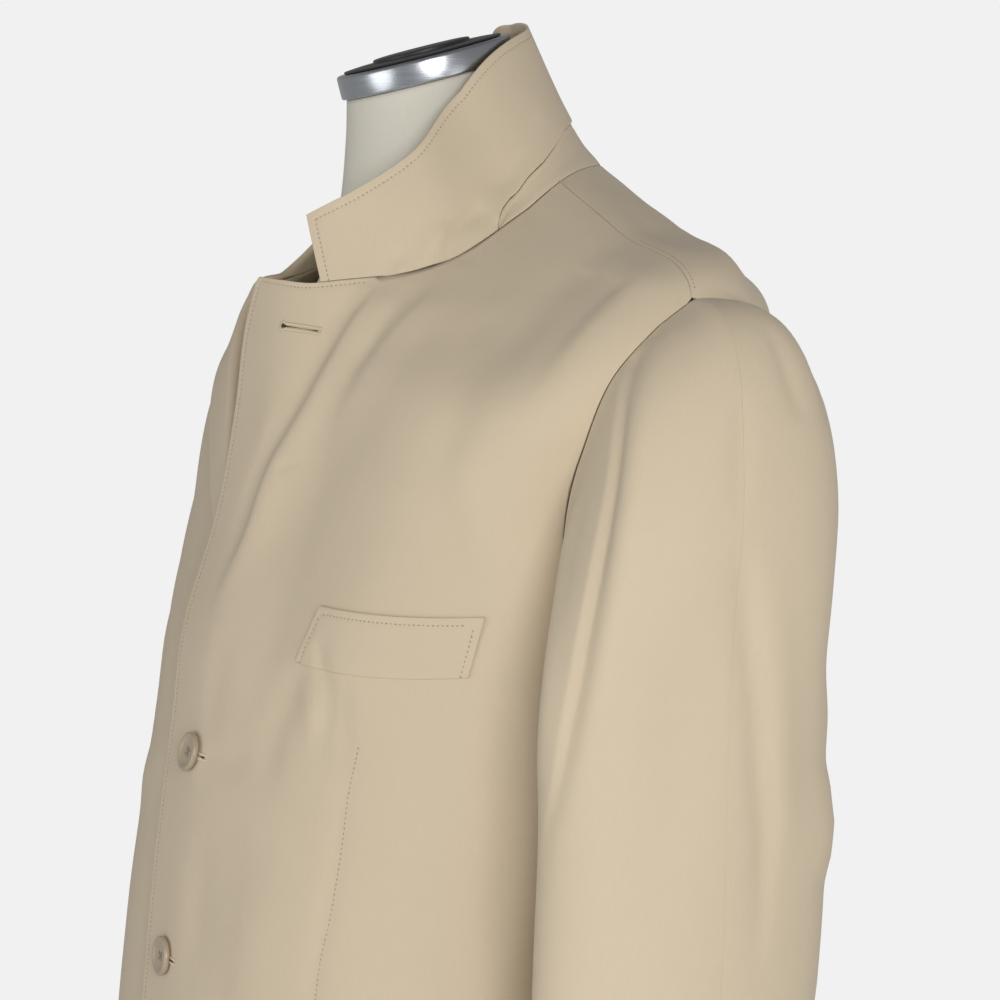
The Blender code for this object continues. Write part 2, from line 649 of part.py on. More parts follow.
def build_collar():
    first, last = COLLAR_VALUES[0, 0], COLLAR_VALUES[-1, 0]
    starts, ends = STAND_LINE[0][0], STAND_LINE[-1][0]
    middle = np.concatenate([[starts, STAND_LINE[1][0]], np.linspace(88.0, ends, 28)])
    angle = np.concatenate([
        np.linspace(first, starts - 0.2, 9), middle, np.linspace(ends + 0.2, last, 9),
    ])
    share = stand_share(angle)
    low = np.where(share > 0, share + STAND_SEAM, 0.0)
    walled("collar", *collar_grid(angle, low, 1.0, 8))
    middle[0] += STAND_TIP
    middle[-1] -= STAND_TIP
    walled("collar_stand", *collar_grid(middle, 0.0, stand_share(middle) - STAND_SEAM, 3))


# ---- breast welt ---------------------------------------------------------------------------
# corners in the front view: top inner, top outer, bottom outer, bottom inner
WELT_CORNERS = ((0.1045, -0.2168), (0.1807, -0.2167), (0.1763, -0.2453), (0.0959, -0.2437))
WELT_SAG = (0.0016, 0.0028)  # of its top and its bottom edge at the middle
LAY = CLOTH + 2.5 * GAP  # what lies on a panel is moved out by a wall and a gap


def welt_point(u, v):
    """The welt's outer face. u: inner end to outer end, v: top to bottom."""
    a, b, c, d = (np.array(corner) for corner in WELT_CORNERS)
    u, v = np.broadcast_arrays(np.asarray(u, float), np.asarray(v, float))
    u1, v1 = u[..., None], v[..., None]
    flat = (a * (1 - u1) + b * u1) * (1 - v1) + (d * (1 - u1) + c * u1) * v1
    sag = WELT_SAG[0] * (1 - v) + WELT_SAG[1] * v
    x, z = flat[..., 0], flat[..., 1] - sag * 4 * u * (1 - u)
    return front_at(1, x, z) + front_normal_at(1, x, z) * LAY


def build_welt():
    u, v = np.meshgrid(np.linspace(0, 1, 11), np.linspace(0, 1, 5))
    normals = normals_of(welt_point, u, v, 0.01, 0.03)
    facing = np.sign(-normals[..., 1:2])
    walled("breast_welt", welt_point(u, v), normals * facing)


# ---- buttons -------------------------------------------------------------------------------
# radius share, height share of a button's profile, from the back's middle to the front's
BUTTON_PROFILE = (
    (0.82, 0.00), (0.97, 0.22), (1.00, 0.60), (0.93, 0.95),
    (0.82, 1.00), (0.72, 0.88), (0.60, 0.66), (0.30, 0.60),
)
BUTTON_SIDES = 16


def turned(name, profile, sides, colour, metallic=0.0, roughness=0.5):
    """A solid turned round +Z from (radius, height) pairs, closed by a point at each end."""
    points = [(0.0, 0.0, profile[0][1])]
    for radius, height in profile:
        for k in range(sides):
            turn = 2 * math.pi * k / sides
            points.append((radius * math.cos(turn), radius * math.sin(turn), height))
    points.append((0.0, 0.0, profile[-1][1]))
    faces = []
    for k in range(sides):
        n = (k + 1) % sides
        faces.append((0, 1 + n, 1 + k))
        for row in range(len(profile) - 1):
            a = 1 + row * sides
            b = a + sides
            faces.append((a + k, a + n, b + n, b + k))
        top = 1 + (len(profile) - 1) * sides
        faces.append((top + k, top + n, len(points) - 1))
    made = new_object(name, points, faces, colour, metallic, roughness)
    return made


def build_buttons():
    profile = [
        (BUTTON_DIAMETER / 2 * share, BUTTON_THICKNESS * height) for share, height in BUTTON_PROFILE
    ]
    for number, (x, height, seat) in enumerate(BUTTON_PLACES, start=1):
        centre = front_at(1, np.array(x), np.array(height))
        outward = front_normal_at(1, np.array(x), np.array(height))
        made = turned(f"button_{number}", profile, BUTTON_SIDES, BUTTON_BEIGE)
        tilt = math.atan2(-outward[1], outward[2])
        made.rotation_euler = (tilt, 0.0, 0.0)
        place = raise_to_floor(centre) + outward * seat
        made.location = tuple(place)


# ---- dress form ----------------------------------------------------------------------------
# The form's skin lies this far inside the cloth's outer face, by ring number.
FORM_INSET = (
    (0.0, 0.034), (1.0, 0.036), (2.0, 0.036), (3.0, 0.032), (4.0, 0.026), (5.0, 0.020),
    (6.0, 0.0130), (7.0, 0.0090), (7.55, 0.0032), (8.0, 0.0030), (8.5, 0.0052), (8.8, 0.0130),
)
FORM_LEVELS = (0.36, 1.0, 2.0, 3.0, 4.0, 5.0, 5.8, 6.4, 6.8, 7.15, 7.55, 8.0, 8.5, 8.8)  # its rings
FORM_SIDES = 32
NECK_AXIS_Y = -0.0159
NECK_RADIUS = 0.0425
RING_RADIUS = 0.0463
RING_HEIGHT = 0.0125
RING_TILT = 15.5  # degrees, the back is higher
RING_LOW = 0.0445  # middle of the neck ring's lower edge
SEAT = 1.2 * GAP  # between hard pieces that stand on one another
# height at the axis, radius, tilt in degrees
FORM_NECK_ROWS = (
    (-0.0350, 0.0590, 27.0),
    (-0.0180, 0.0500, 21.0),
    (-0.0020, 0.0455, 17.0),
    (0.0250, 0.0430, RING_TILT),
    (RING_LOW - SEAT, NECK_RADIUS, RING_TILT),
)


def build_form():
    """The torso: the body surface moved inwards, then a round neck cut level with the ring."""
    angles = np.linspace(0, 360, FORM_SIDES, endpoint=False)
    rows = []
    inset_t = np.array([row[0] for row in FORM_INSET])
    inset_d = np.array([row[1] for row in FORM_INSET])
    for t in FORM_LEVELS:
        inset = np.interp(t, inset_t, inset_d)
        rows.append(body_point(angles, t) - body_normal(angles, t) * inset)
    turn = np.radians(angles)
    for height, radius, tilt in FORM_NECK_ROWS:
        ahead = -radius * np.cos(turn)
        rise = ahead * math.tan(math.radians(tilt))
        rows.append(np.stack([radius * np.sin(turn), NECK_AXIS_Y + ahead, height + rise], -1))
    points = raise_to_floor(np.array(rows))
    count, sides = points.shape[:2]
    vertices = list(points.reshape(-1, 3))
    vertices.append(points[0].mean(0))
    vertices.append(points[-1].mean(0))
    faces = []
    for i in range(count - 1):
        for j in range(sides):
            k = (j + 1) % sides
            faces.append((i * sides + j, i * sides + k, (i + 1) * sides + k, (i + 1) * sides + j))
    for j in range(sides):
        k = (j + 1) % sides
        faces.append((k, j, count * sides))
        faces.append(((count - 1) * sides + j, (count - 1) * sides + k, count * sides + 1))
    made = new_object("form_torso", vertices, faces, CANVAS)
    turn_outwards(made)


# radius share, height share
RING_PROFILE = ((0.955, 0.0), (1.0, 0.08), (1.0, 0.86), (0.975, 1.0))
# radius share of the ring's, height
CAP_PROFILE = (
    (0.90, 0.0), (0.90, 0.0010), (0.80, 0.0014), (0.57, 0.0016), (0.555, 0.0030), (0.30, 0.0038),
)


def build_neck_fittings():
    tilt = (math.radians(RING_TILT), 0.0, 0.0)
    up = np.array([0.0, -math.sin(tilt[0]), math.cos(tilt[0])])
    base = raise_to_floor(np.array([0.0, NECK_AXIS_Y, RING_LOW]))
    profile = [(RING_RADIUS * r, RING_HEIGHT * z) for r, z in RING_PROFILE]
    ring = turned("neck_ring", profile, 36, CHROME, 1.0, 0.15)
    ring.location = tuple(base)
    ring.rotation_euler = tilt
    profile = [(RING_RADIUS * r, z) for r, z in CAP_PROFILE]
    cap = turned("neck_cap", profile, 28, DARK_METAL, 0.0, 0.5)
    cap.location = tuple(base + up * (RING_HEIGHT + SEAT))
    cap.rotation_euler = tilt


BASE_RADIUS = 0.175
POLE_RADIUS = 0.016
BASE_PROFILE = ((1.0, 0.0), (1.0, 0.008), (0.985, 0.013), (0.80, 0.019), (0.30, 0.027), (0.14, 0.034))


def build_stand():
    profile = [(BASE_RADIUS * r, z) for r, z in BASE_PROFILE]
    turned("base", profile, 40, DARK_METAL, 0.6, 0.4)
    bottom = body_point(0.0, FORM_LEVELS[0])[2] + NECK_HEIGHT
    profile = [(POLE_RADIUS, BASE_PROFILE[-1][1] + SEAT), (POLE_RADIUS, bottom - SEAT)]
    turned("pole", profile, 20, DARK_METAL, 0.6, 0.4)


PANEL_ROWS = (11, 9, 4)  # rows along the side seam, the armhole and the shoulder seam


def build_fronts():
    for side, name in ((1, "front_left"), (-1, "front_right")):
        points, normals = front_grid(side, PANEL_ROWS, 10, *LEAF_COLUMNS[side])
        walled(name, points, normals, mirror=side < 0)


def build_backs():
    points, normals = back_grid(PANEL_ROWS, 9)
    walled("back_left", points, normals)
    walled("back_right", points, normals, mirror=True)


def build_sleeves():
    points, normals = sleeve_grid(28, 8, 7)
    walled("sleeve_left", points, normals, closed=True)
    walled("sleeve_right", points, normals, closed=True, mirror=True)


def clear_scene():
    for old in list(bpy.data.objects):
        bpy.data.objects.remove(old, do_unlink=True)


def main():
    clear_scene()
    build_fronts()
    build_backs()
    build_sleeves()
    build_collar()
    build_welt()
    build_buttons()
    build_form()
    build_neck_fittings()
    build_stand()


main()
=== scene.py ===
import math

import bmesh
import bpy
import numpy as np
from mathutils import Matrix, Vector


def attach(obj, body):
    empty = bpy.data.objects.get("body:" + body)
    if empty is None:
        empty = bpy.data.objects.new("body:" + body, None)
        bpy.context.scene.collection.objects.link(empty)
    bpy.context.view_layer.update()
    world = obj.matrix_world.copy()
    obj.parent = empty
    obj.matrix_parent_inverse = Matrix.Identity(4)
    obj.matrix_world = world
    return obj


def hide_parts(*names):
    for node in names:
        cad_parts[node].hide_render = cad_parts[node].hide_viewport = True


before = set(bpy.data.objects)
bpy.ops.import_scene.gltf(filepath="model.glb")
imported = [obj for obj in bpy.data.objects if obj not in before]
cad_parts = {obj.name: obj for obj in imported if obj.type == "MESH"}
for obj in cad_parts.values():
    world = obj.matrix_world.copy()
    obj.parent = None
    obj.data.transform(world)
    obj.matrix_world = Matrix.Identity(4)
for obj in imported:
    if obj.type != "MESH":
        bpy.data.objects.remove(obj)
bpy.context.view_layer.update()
print("packed model loaded")

# Lengths are metres. Heights start from the centre-back neck seam, the front faces -Y and the
# wearer's left is +X. The panels lie on one body surface: an angle round it and a ring number.
seamHeight = 0.955
threadLift = 0.00002  # a stitched line's height over the cloth
cloth = {"wall": 0.0016, "gap": 0.0003, "trim": 0.00008, "lap": 0.0034, "openLap": 0.0054, "edge": 0.00050}

# front height, back height, rise over the shoulder, half width, front depth, back depth,
# roundness front and back
bodyRings = {
    "hem": (-0.735, -0.735, 0.0, 0.206, 0.157, 0.116, 2.4, 2.4),
    "hip": (-0.620, -0.620, 0.0, 0.202, 0.1650, 0.114, 2.5, 2.4),
    "lowWaist": (-0.500, -0.500, 0.0, 0.192, 0.1705, 0.102, 2.7, 2.3),
    "waist": (-0.400, -0.400, 0.0, 0.188, 0.1640, 0.098, 2.55, 2.3),
    "ribs": (-0.320, -0.320, 0.0, 0.193, 0.1550, 0.106, 2.25, 2.3),
    "chest": (-0.250, -0.250, 0.0, 0.200, 0.1430, 0.115, 2.15, 2.4),
    "blades": (-0.185, -0.165, 0.0, 0.209, 0.1215, 0.119, 2.15, 2.5),
    "shoulder": (-0.130, -0.085, 0.032, 0.226, 0.1085, 0.114, 2.1, 2.6),
    "midShoulder": (-0.094, -0.036, 0.0175, 0.150, 0.1025, 0.096, 2.1, 2.3),
    "neckSeam": (-0.0605, 0.000, 0.0065, 0.087, 0.0950, 0.072, 2.3, 2.0),
}
ringTable = np.array(list(bodyRings.values()))
bodyShape = {"slant": 1.6, "ridgeAngle": 100.0, "ridgeSpread": 34.0, "armpit": 5.0, "neck": 9.0}


def catmull(table, t):
    # a table read between its rows by a smooth curve, straight past its ends
    table, t = np.asarray(table, float), np.asarray(t, float)
    last = len(table) - 1
    row = np.clip(np.floor(t).astype(int), 0, last - 1)
    f = (t - row)[..., None]
    before, start = table[np.maximum(row - 1, 0)], table[row]
    end, after = table[row + 1], table[np.minimum(row + 2, last)]
    slopeA = np.where((row > 0)[..., None], (end - before) / 2, end - start)
    slopeB = np.where((row + 2 <= last)[..., None], (after - start) / 2, end - start)
    inside = hermite(f, start, end, slopeA, slopeB)
    return np.where(f < 0, start + f * slopeA, np.where(f > 1, end + (f - 1) * slopeB, inside))


def readAt(places, table, x):
    # a table whose rows stand at uneven places, read smoothly at x
    places, table, x = np.asarray(places, float), np.asarray(table, float), np.asarray(x, float)
    gap = np.diff(places)
    rise = np.diff(table, axis=0) / gap[:, None]
    inner = (rise[:-1] * gap[1:, None] + rise[1:] * gap[:-1, None]) / (gap[:-1] + gap[1:])[:, None]
    slope = np.concatenate([rise[:1], inner, rise[-1:]])
    row = np.clip(np.searchsorted(places, x, side="right") - 1, 0, len(places) - 2)
    wide = gap[row][..., None]
    f = np.clip((x - places[row])[..., None] / wide, 0, 1)
    return hermite(f, table[row], table[row + 1], slope[row] * wide, slope[row + 1] * wide)


def hermite(f, start, end, slopeA, slopeB):
    return ((2 * f**3 - 3 * f**2 + 1) * start + (f**3 - 2 * f**2 + f) * slopeA
            + (3 * f**2 - 2 * f**3) * end + (f**3 - f**2) * slopeB)


def smooth(x, low=0.0, high=1.0):
    f = np.clip((np.asarray(x, float) - low) / (high - low), 0, 1)
    return f * f * (3 - 2 * f)


def unit(vectors):
    return vectors / np.maximum(np.linalg.norm(vectors, axis=-1, keepdims=True), 1e-12)


def bodyPoint(angle, t):
    angle, t = np.broadcast_arrays(np.asarray(angle, float), np.asarray(t, float))
    frontZ, backZ, rise, width, frontD, backD, frontN, backN = np.moveaxis(catmull(ringTable, t), -1, 0)
    s, c = np.sin(np.radians(angle)), np.cos(np.radians(angle))
    ahead = c > 0
    power = 2 / np.where(ahead, frontN, backN)
    x = width * np.sign(s) * np.abs(s) ** power
    y = -np.where(ahead, frontD, backD) * np.sign(c) * np.abs(c) ** power
    slant = bodyShape["slant"]
    # the height goes by the true way round, so that it runs on smoothly past the side
    roundS, roundC = np.abs(s) ** power, np.sign(c) * np.abs(c) ** power
    c = roundC / np.hypot(roundS, roundC)
    behind = (1 - np.tanh(slant * c) / math.tanh(slant)) / 2
    fromFront = np.degrees(np.arccos(np.clip(c, -1, 1)))
    ridge = np.exp(-(((fromFront - bodyShape["ridgeAngle"]) / bodyShape["ridgeSpread"]) ** 2))
    return np.stack([x, y, frontZ + (backZ - frontZ) * behind + rise * ridge], -1)


def normalsOf(place, a, b, stepA, stepB, outward=1.0):
    alongA = place(a + stepA, b) - place(a - stepA, b)
    alongB = place(a, b + stepB) - place(a, b - stepB)
    return unit(np.cross(alongA, alongB)) * outward


def bodyNormal(angle, t):
    return normalsOf(bodyPoint, np.asarray(angle, float), np.asarray(t, float), 0.4, 0.02)


# the garment's largest folds: ends in the front view (x, height), bow, half width, depth (+ is a ridge)
mainFolds = {
    "shoulderHollow": (0.112, -0.120, 0.050, -0.200, 0.004, 0.020, -0.0018),
    "chestFullness": (0.150, -0.150, 0.120, -0.260, 0.006, 0.030, 0.0025),
    "dragToButton": (0.100, -0.330, 0.010, -0.300, 0.003, 0.012, 0.0016),
    "underPocket": (0.085, -0.300, 0.100, -0.250, -0.003, 0.010, -0.0022),
}


def mainFoldHeights(x, z):
    total = np.zeros(np.broadcast(x, z).shape)
    for x0, z0, x1, z1, bow, halfWidth, depth in mainFolds.values():
        dx, dz = x1 - x0, z1 - z0
        length = math.hypot(dx, dz)
        along = ((x - x0) * dx + (z - z0) * dz) / length**2
        across = ((x - x0) * dz - (z - z0) * dx) / length - bow * 4 * along * (1 - along)
        ends = smooth(along, -0.25, 0.2) * (1 - smooth(along, 0.8, 1.25))
        total = total + depth * ends * np.exp(-((across / halfWidth) ** 2))
    return total


# the fronts' surface, lapels included
lapelLine = {"break": np.array([-0.0135, -0.243]), "top": np.array([0.067, -0.0590])}
# below the break the fold line's rows keep on, this far aside of the front edge
belowBreak = {"aside": 0.032, "from": -0.33, "to": -0.25}
rollDirection = unit(lapelLine["top"] - lapelLine["break"])
leafSide = np.array([-rollDirection[1], rollDirection[0]])
frontEdge = {  # height: x of the front edge
    -0.735: -0.006, -0.690: -0.015, -0.600: -0.017, -0.300: -0.017,
    -0.200: -0.0145, -0.130: -0.0100, -0.085: -0.0048, -0.0595: 0.0015,
}
lapels = {
    1: {"turn": 9.0, "growth": 0.20, "radius": (0.030, 0.030), "narrow": 0.0, "corner": 0.0035},
    -1: {"turn": 183.0, "growth": 0.050, "radius": (0.0012, 0.0036), "narrow": 0.70, "corner": 0.0055},
}
sideSeam = ((103, 0), (104, 1.5), (103, 3), (101, 4.2), (99, 5))
armholeFront = ((99, 5), (89, 5.06), (81, 5.28), (76, 5.62), (74, 6.02), (74, 6.45), (79, 6.84), (95, 7))
armholeBack = ((99, 5), (108, 5.08), (114, 5.35), (118, 5.75), (120, 6.15), (118, 6.55), (109, 6.88), (95, 7))
shoulderSeam = ((95, 7), (97.5, 7.6), (101, 8.3), (105, 9))
# the gorge seam over the lapel: front view x, height
gorge = ((0.001, -0.0612), (0.020, -0.0632), (0.040, -0.0648), (0.054, -0.0624), (0.067, -0.0590))
neckDip = {"depth": 0.075, "from": 66.0, "to": 90.0}
panelRows = {"side": 11.0, "armhole": 9.0, "shoulder": 4.0}
# a row's height in metres below the split row and above it, where the rows lie closer
rowMetres = {"split": 12, "low": 0.045, "frontHigh": 0.0150, "backHigh": 0.026}
rowCount = sum(panelRows.values())


def outerEdge(armhole, run):
    # side seam, armhole and shoulder seam as one run of (angle, ring), read at row numbers
    side, hole, shoulder = panelRows.values()
    low = catmull(sideSeam, np.clip(run / side, 0, 1) * (len(sideSeam) - 1))
    middle = catmull(armhole, np.clip((run - side) / hole, 0, 1) * (len(armhole) - 1))
    high = catmull(shoulderSeam, np.clip((run - side - hole) / shoulder, 0, 1) * (len(shoulderSeam) - 1))
    return np.where((run <= side)[:, None], low, np.where((run <= side + hole)[:, None], middle, high))


def neckRing(angle):
    # the ring number of the neck seam, a little low at the front
    return bodyShape["neck"] - neckDip["depth"] * (1 - smooth(np.abs(angle), neckDip["from"], neckDip["to"]))


def gorgeHeight(x):
    places, heights = np.array(gorge).T
    return readAt(places, heights[:, None], x)[..., 0]


def angleAt(x, t):
    values = catmull(ringTable, t)
    share = np.clip(np.abs(x) / values[..., 3], 0, 1)
    return np.degrees(np.sign(x) * np.arcsin(share ** (values[..., 6] / 2)))


def ringWhere(angleOf, z, shape, pastNeck, rounds):
    # the ring number at which the body has height z, found by halving
    low = np.full(shape, -0.3)
    high = np.full(shape, bodyShape["neck"] + pastNeck)
    for _ in range(rounds):
        middle = (low + high) / 2
        above = bodyPoint(angleOf(middle), middle)[..., 2] > z
        low, high = np.where(above, low, middle), np.where(above, middle, high)
    return (low + high) / 2


def ringAt(x, z):
    return ringWhere(lambda t: angleAt(x, t), z, np.broadcast(x, z).shape, 0.9, 30)


def lapLift(x, z):
    lift = cloth["lap"] + cloth["openLap"] * smooth(z, -0.290, -0.215)
    return lift * (1 - smooth(x, 0.022, 0.080))


def frontPoint(side, angle, t):
    base = bodyPoint(angle, t)
    lift = mainFoldHeights(base[..., 0], base[..., 2])
    if side > 0:
        lift = lift + lapLift(base[..., 0], base[..., 2])
    return base + bodyNormal(angle, t) * lift[..., None]


def frontAt(side, x, z):
    t = ringAt(x, z)
    return frontPoint(side, angleAt(x, t), t)


def frontNormalAt(side, x, z):
    return -normalsOf(lambda a, b: frontAt(side, a, b), x, z, 0.001, 0.001, -1.0)


def alongRoll(x, z):
    return (x - lapelLine["break"][0]) * rollDirection[0] + (z - lapelLine["break"][1]) * rollDirection[1]


def pastRoll(x, z):
    return (x - lapelLine["break"][0]) * leafSide[0] + (z - lapelLine["break"][1]) * leafSide[1]


def lapelBend(side, along):
    shape = lapels[side]
    low, high = shape["radius"]
    turn = math.radians(shape["turn"]) * smooth(along, 0.0, shape["growth"])
    return turn, low + (high - low) * smooth(along, 0.0, 0.15)


def lapelPoint(side, x, z):
    # the front view's (x, z) turned about the roll line and laid on the front
    past, along = pastRoll(x, z), alongRoll(x, z)
    turn, radius = lapelBend(side, along)
    bend = np.clip(past / radius, 0, turn)
    rest = np.maximum(past - radius * turn, 0)
    flat = radius * np.sin(bend) + rest * np.cos(turn) + np.minimum(past, 0)
    height = radius * (1 - np.cos(bend)) + rest * np.sin(turn)
    newX = lapelLine["break"][0] + along * rollDirection[0] + flat * leafSide[0]
    newZ = lapelLine["break"][1] + along * rollDirection[1] + flat * leafSide[1]
    return frontAt(side, newX, newZ) + frontNormalAt(side, newX, newZ) * height[..., None]


def edgeX(z):
    heights, places = np.array(list(frontEdge)), np.array(list(frontEdge.values()))
    return catmull(places[:, None], np.interp(z, heights, np.arange(len(heights))))[..., 0]


def smoothRun(f):
    return 0.6 * f + 0.4 * f * f * (3 - 2 * f)


# distances from an edge, in millimetres, at which the rolled edge and its stitched line need rows
edgeSteps = np.array([0.0, 0.15, 0.40, 0.75, 1.3, 2.0, 2.8, 3.4, 3.9, 4.4, 4.9, 5.4, 6.2, 7.4, 9.0]) / 1000


def spread(low, high, count, perMetre=None, lowEdge=False, highEdge=False):
    # even places from low to high, with closer ones along the edges; perMetre turns metres to places
    places = np.linspace(low, high, count)
    for wanted, edge, way in ((lowEdge, low, 1), (highEdge, high, -1)):
        if wanted:
            close = edge + way * edgeSteps * perMetre
            reach = abs(close[-1] - edge)
            places = np.concatenate([places[np.abs(places - edge) > reach * 1.02], close])
    return np.sort(places)


def panelRun(count, highMetres):
    split = rowMetres["split"]
    return np.union1d(spread(0, split, count, 1 / rowMetres["low"], lowEdge=True),
                      spread(split, rowCount, count, 1 / highMetres, highEdge=True))


def frontSheet(side, sizes):
    run = panelRun(sizes["rows"] // 2, rowMetres["frontHigh"])
    outer = outerEdge(armholeFront, run)
    share, sideShare = run / rowCount, panelRows["side"] / rowCount
    highShare = np.clip((share - sideShare) / (1 - sideShare), 0, 1)
    sideZ = bodyPoint(0.0, outer[:, 1])[..., 2]
    startZ = float(bodyPoint(0.0, bodyShape["armpit"])[2])
    zLine = np.where(share <= sideShare + 1e-9, sideZ, startZ + (lapelLine["top"][1] - startZ) * highShare)
    xLine = lapelLine["break"][0] + np.maximum(
        (zLine - lapelLine["break"][1]) / rollDirection[1], 0
    ) * rollDirection[0]
    xLine = xLine + belowBreak["aside"] * (1 - smooth(zLine, belowBreak["from"], belowBreak["to"]))
    tLine = ringAt(xLine, zLine)
    tLine[-1] = bodyShape["neck"]
    angleLine = angleAt(xLine, tLine)
    body = spread(0, 1, sizes["body"], 1 / 0.28, lowEdge=True)[None, :]
    angle = outer[:, :1] + (angleLine[:, None] - outer[:, :1]) * body
    t = outer[:, 1:] + (tLine[:, None] - outer[:, 1:]) * smoothRun(body)
    dip = bodyShape["neck"] - neckRing(angle)
    t = t - dip * smooth(t, bodyShape["neck"] - 1.0, bodyShape["neck"])
    points = frontPoint(side, angle, t)
    # the leaf runs from the fold line to the front edge; its top corner is rounded
    endZ = list(frontEdge)[-1]
    zEdge = zLine + (endZ - lapelLine["top"][1]) * highShare
    corner = lapels[side]["corner"]
    down = np.clip(corner - (endZ - zEdge), 0, corner)
    xEdge = edgeX(zEdge) + corner - np.sqrt(np.maximum(corner**2 - down**2, 0))
    along = alongRoll(xLine, zLine)
    narrow = lapels[side]["narrow"] * smooth(along, -0.035, 0.0) * (1 - smooth(along, 0.02, 0.12))
    xEdge = xLine + (xEdge - xLine) * (1 - narrow)
    zEdge = zLine + (zEdge - zLine) * (1 - narrow)
    width = pastRoll(xEdge, zEdge) - pastRoll(xLine, zLine)
    turn, radius = lapelBend(side, along)
    bend = np.clip(turn * radius / width, 0.15, 0.70)[:, None]
    inner = bend * np.linspace(0, 1, sizes["bend"] + 1)[1:]
    flat = bend + (1 - bend) * spread(0, 1, sizes["flat"], 1 / 0.05, highEdge=True)[1:]
    leaf = np.concatenate([inner, flat], 1)
    x = xLine[:, None] + (xEdge - xLine)[:, None] * leaf
    z = zLine[:, None] + (zEdge - zLine)[:, None] * leaf
    # the leaf's top rows come down to the gorge
    nearTop = smooth(zLine, -0.105, zLine[-1])[:, None]
    z = z + nearTop * (gorgeHeight(x) - z[-1:])
    viewX = np.concatenate([points[..., 0], x], 1)
    viewZ = np.concatenate([points[..., 2], z], 1)
    points = np.concatenate([points, lapelPoint(side, x, z)], 1)
    return drawnIn(points, 0, 1), viewX, viewZ, run


def drawnIn(points, edge, inside):
    points = points.copy()
    points[:, edge] = points[:, edge] + unit(points[:, inside] - points[:, edge]) * cloth["trim"]
    return points


def backSheet(sizes):
    run = panelRun(sizes["rows"] // 2, rowMetres["backHigh"])
    outer = outerEdge(armholeBack, run)
    centre = 0.5 * run / rowCount * bodyShape["neck"] + 0.5 * outer[:, 1]
    across = spread(0, 1, sizes["across"], 1 / 0.20, lowEdge=True, highEdge=True)[None, :]
    angle = outer[:, :1] + (180 - outer[:, :1]) * across
    t = outer[:, 1:] + (centre[:, None] - outer[:, 1:]) * smoothRun(across)
    points = drawnIn(bodyPoint(angle, t), 0, 1)
    return drawnIn(points, -1, -2), angle, run


# soft creases laid on the sheets
def nearestOnLine(line, x, z):
    # distance to a flat line of points, the share of the way along it, and the side (+ is its left)
    start, run = line[:-1], line[1:] - line[:-1]
    length = np.hypot(run[:, 0], run[:, 1])
    px, pz = x[..., None] - start[:, 0], z[..., None] - start[:, 1]
    f = np.clip((px * run[:, 0] + pz * run[:, 1]) / length**2, 0, 1)
    distance = np.hypot(px - f * run[:, 0], pz - f * run[:, 1])
    best = distance.argmin(-1)[..., None]
    along = (np.concatenate([[0], np.cumsum(length)[:-1]]) + f * length) / length.sum()
    side = np.sign(run[:, 0] * pz - run[:, 1] * px)
    take = lambda values: np.take_along_axis(values, best, -1)[..., 0]
    return take(distance), take(along), take(side)


def lineThrough(path, scale=(1.0, 1.0), steps=8):
    path = np.array(path, float) * scale
    return catmull(path, np.linspace(0, len(path) - 1, steps * (len(path) - 1) + 1))


creaseSteps = 5


def creaseLines(creases, place):
    # each crease follows a path, read through place(a, b) into space
    paths = {name: lineThrough(crease["path"], steps=creaseSteps) for name, crease in creases.items()}
    return {name: place(path[:, 0], path[:, 1]) for name, path in paths.items()}


def creaseHeights(creases, lines, points, normals):
    # depth raises (+) or sinks (-) a crease, uneven along its line; lean makes the side on its left wider
    flatPoints, flatNormals = points.reshape(-1, 3), normals.reshape(-1, 3)
    total = np.zeros(len(flatPoints))
    for name, crease in creases.items():
        line = lines[name]
        lean = crease.get("lean", 0.0)
        reach = crease["width"] * 2.6 * (1 + abs(lean))
        length = np.linalg.norm(np.diff(line, axis=0), axis=1)
        passed = np.concatenate([[0], np.cumsum(length)]) / length.sum()
        distance, along, side = (np.full(len(flatPoints), value) for value in (reach, 0.0, 1.0))
        for first in range(0, len(line) - 1, creaseSteps):
            part = line[first:first + creaseSteps + 1]
            near = np.nonzero(
                np.all((flatPoints > part.min(0) - reach) & (flatPoints < part.max(0) + reach), axis=1)
            )[0]
            for k in range(len(part) - 1):
                run = part[k + 1] - part[k]
                away = flatPoints[near] - part[k]
                f = np.clip(away @ run / (run @ run), 0, 1)
                away = away - f[:, None] * run
                apart = np.sqrt((away**2).sum(1))
                better = apart < distance[near]
                chosen = near[better]
                distance[chosen] = apart[better]
                along[chosen] = passed[first + k] + f[better] * (passed[first + k + 1] - passed[first + k])
                side[chosen] = np.sign((np.cross(flatNormals[chosen], run) * away[better]).sum(1))
        near = np.nonzero(distance < reach)[0]
        share = distance[near] / (crease["width"] * (1 + lean * side[near]))
        along = along[near]
        height = np.interp(
            along, np.linspace(0, 1, len(crease["depth"])), crease["depth"]
        ) * np.exp(-(share**2))
        fadeIn, fadeOut = crease.get("fade", (0.25, 0.3))
        if fadeIn:
            height = height * smooth(along, 0, fadeIn)
        if fadeOut:
            height = height * (1 - smooth(along, 1 - fadeOut, 1))
        total[near] = total[near] + height
    return total.reshape(points.shape[:-1])


def unevenness(points, amount, seed, size=0.055):
    # low, slow waves so that no panel is perfectly fair
    rng = np.random.default_rng(seed)
    total = np.zeros(points.shape[:-1])
    for _ in range(9):
        direction = unit(rng.normal(size=3)) * rng.uniform(0.6, 1.5) * 2 * math.pi / size / 1.6
        total = total + np.sin(points @ direction + rng.uniform(0, 6.28)) / 3
    return total * amount


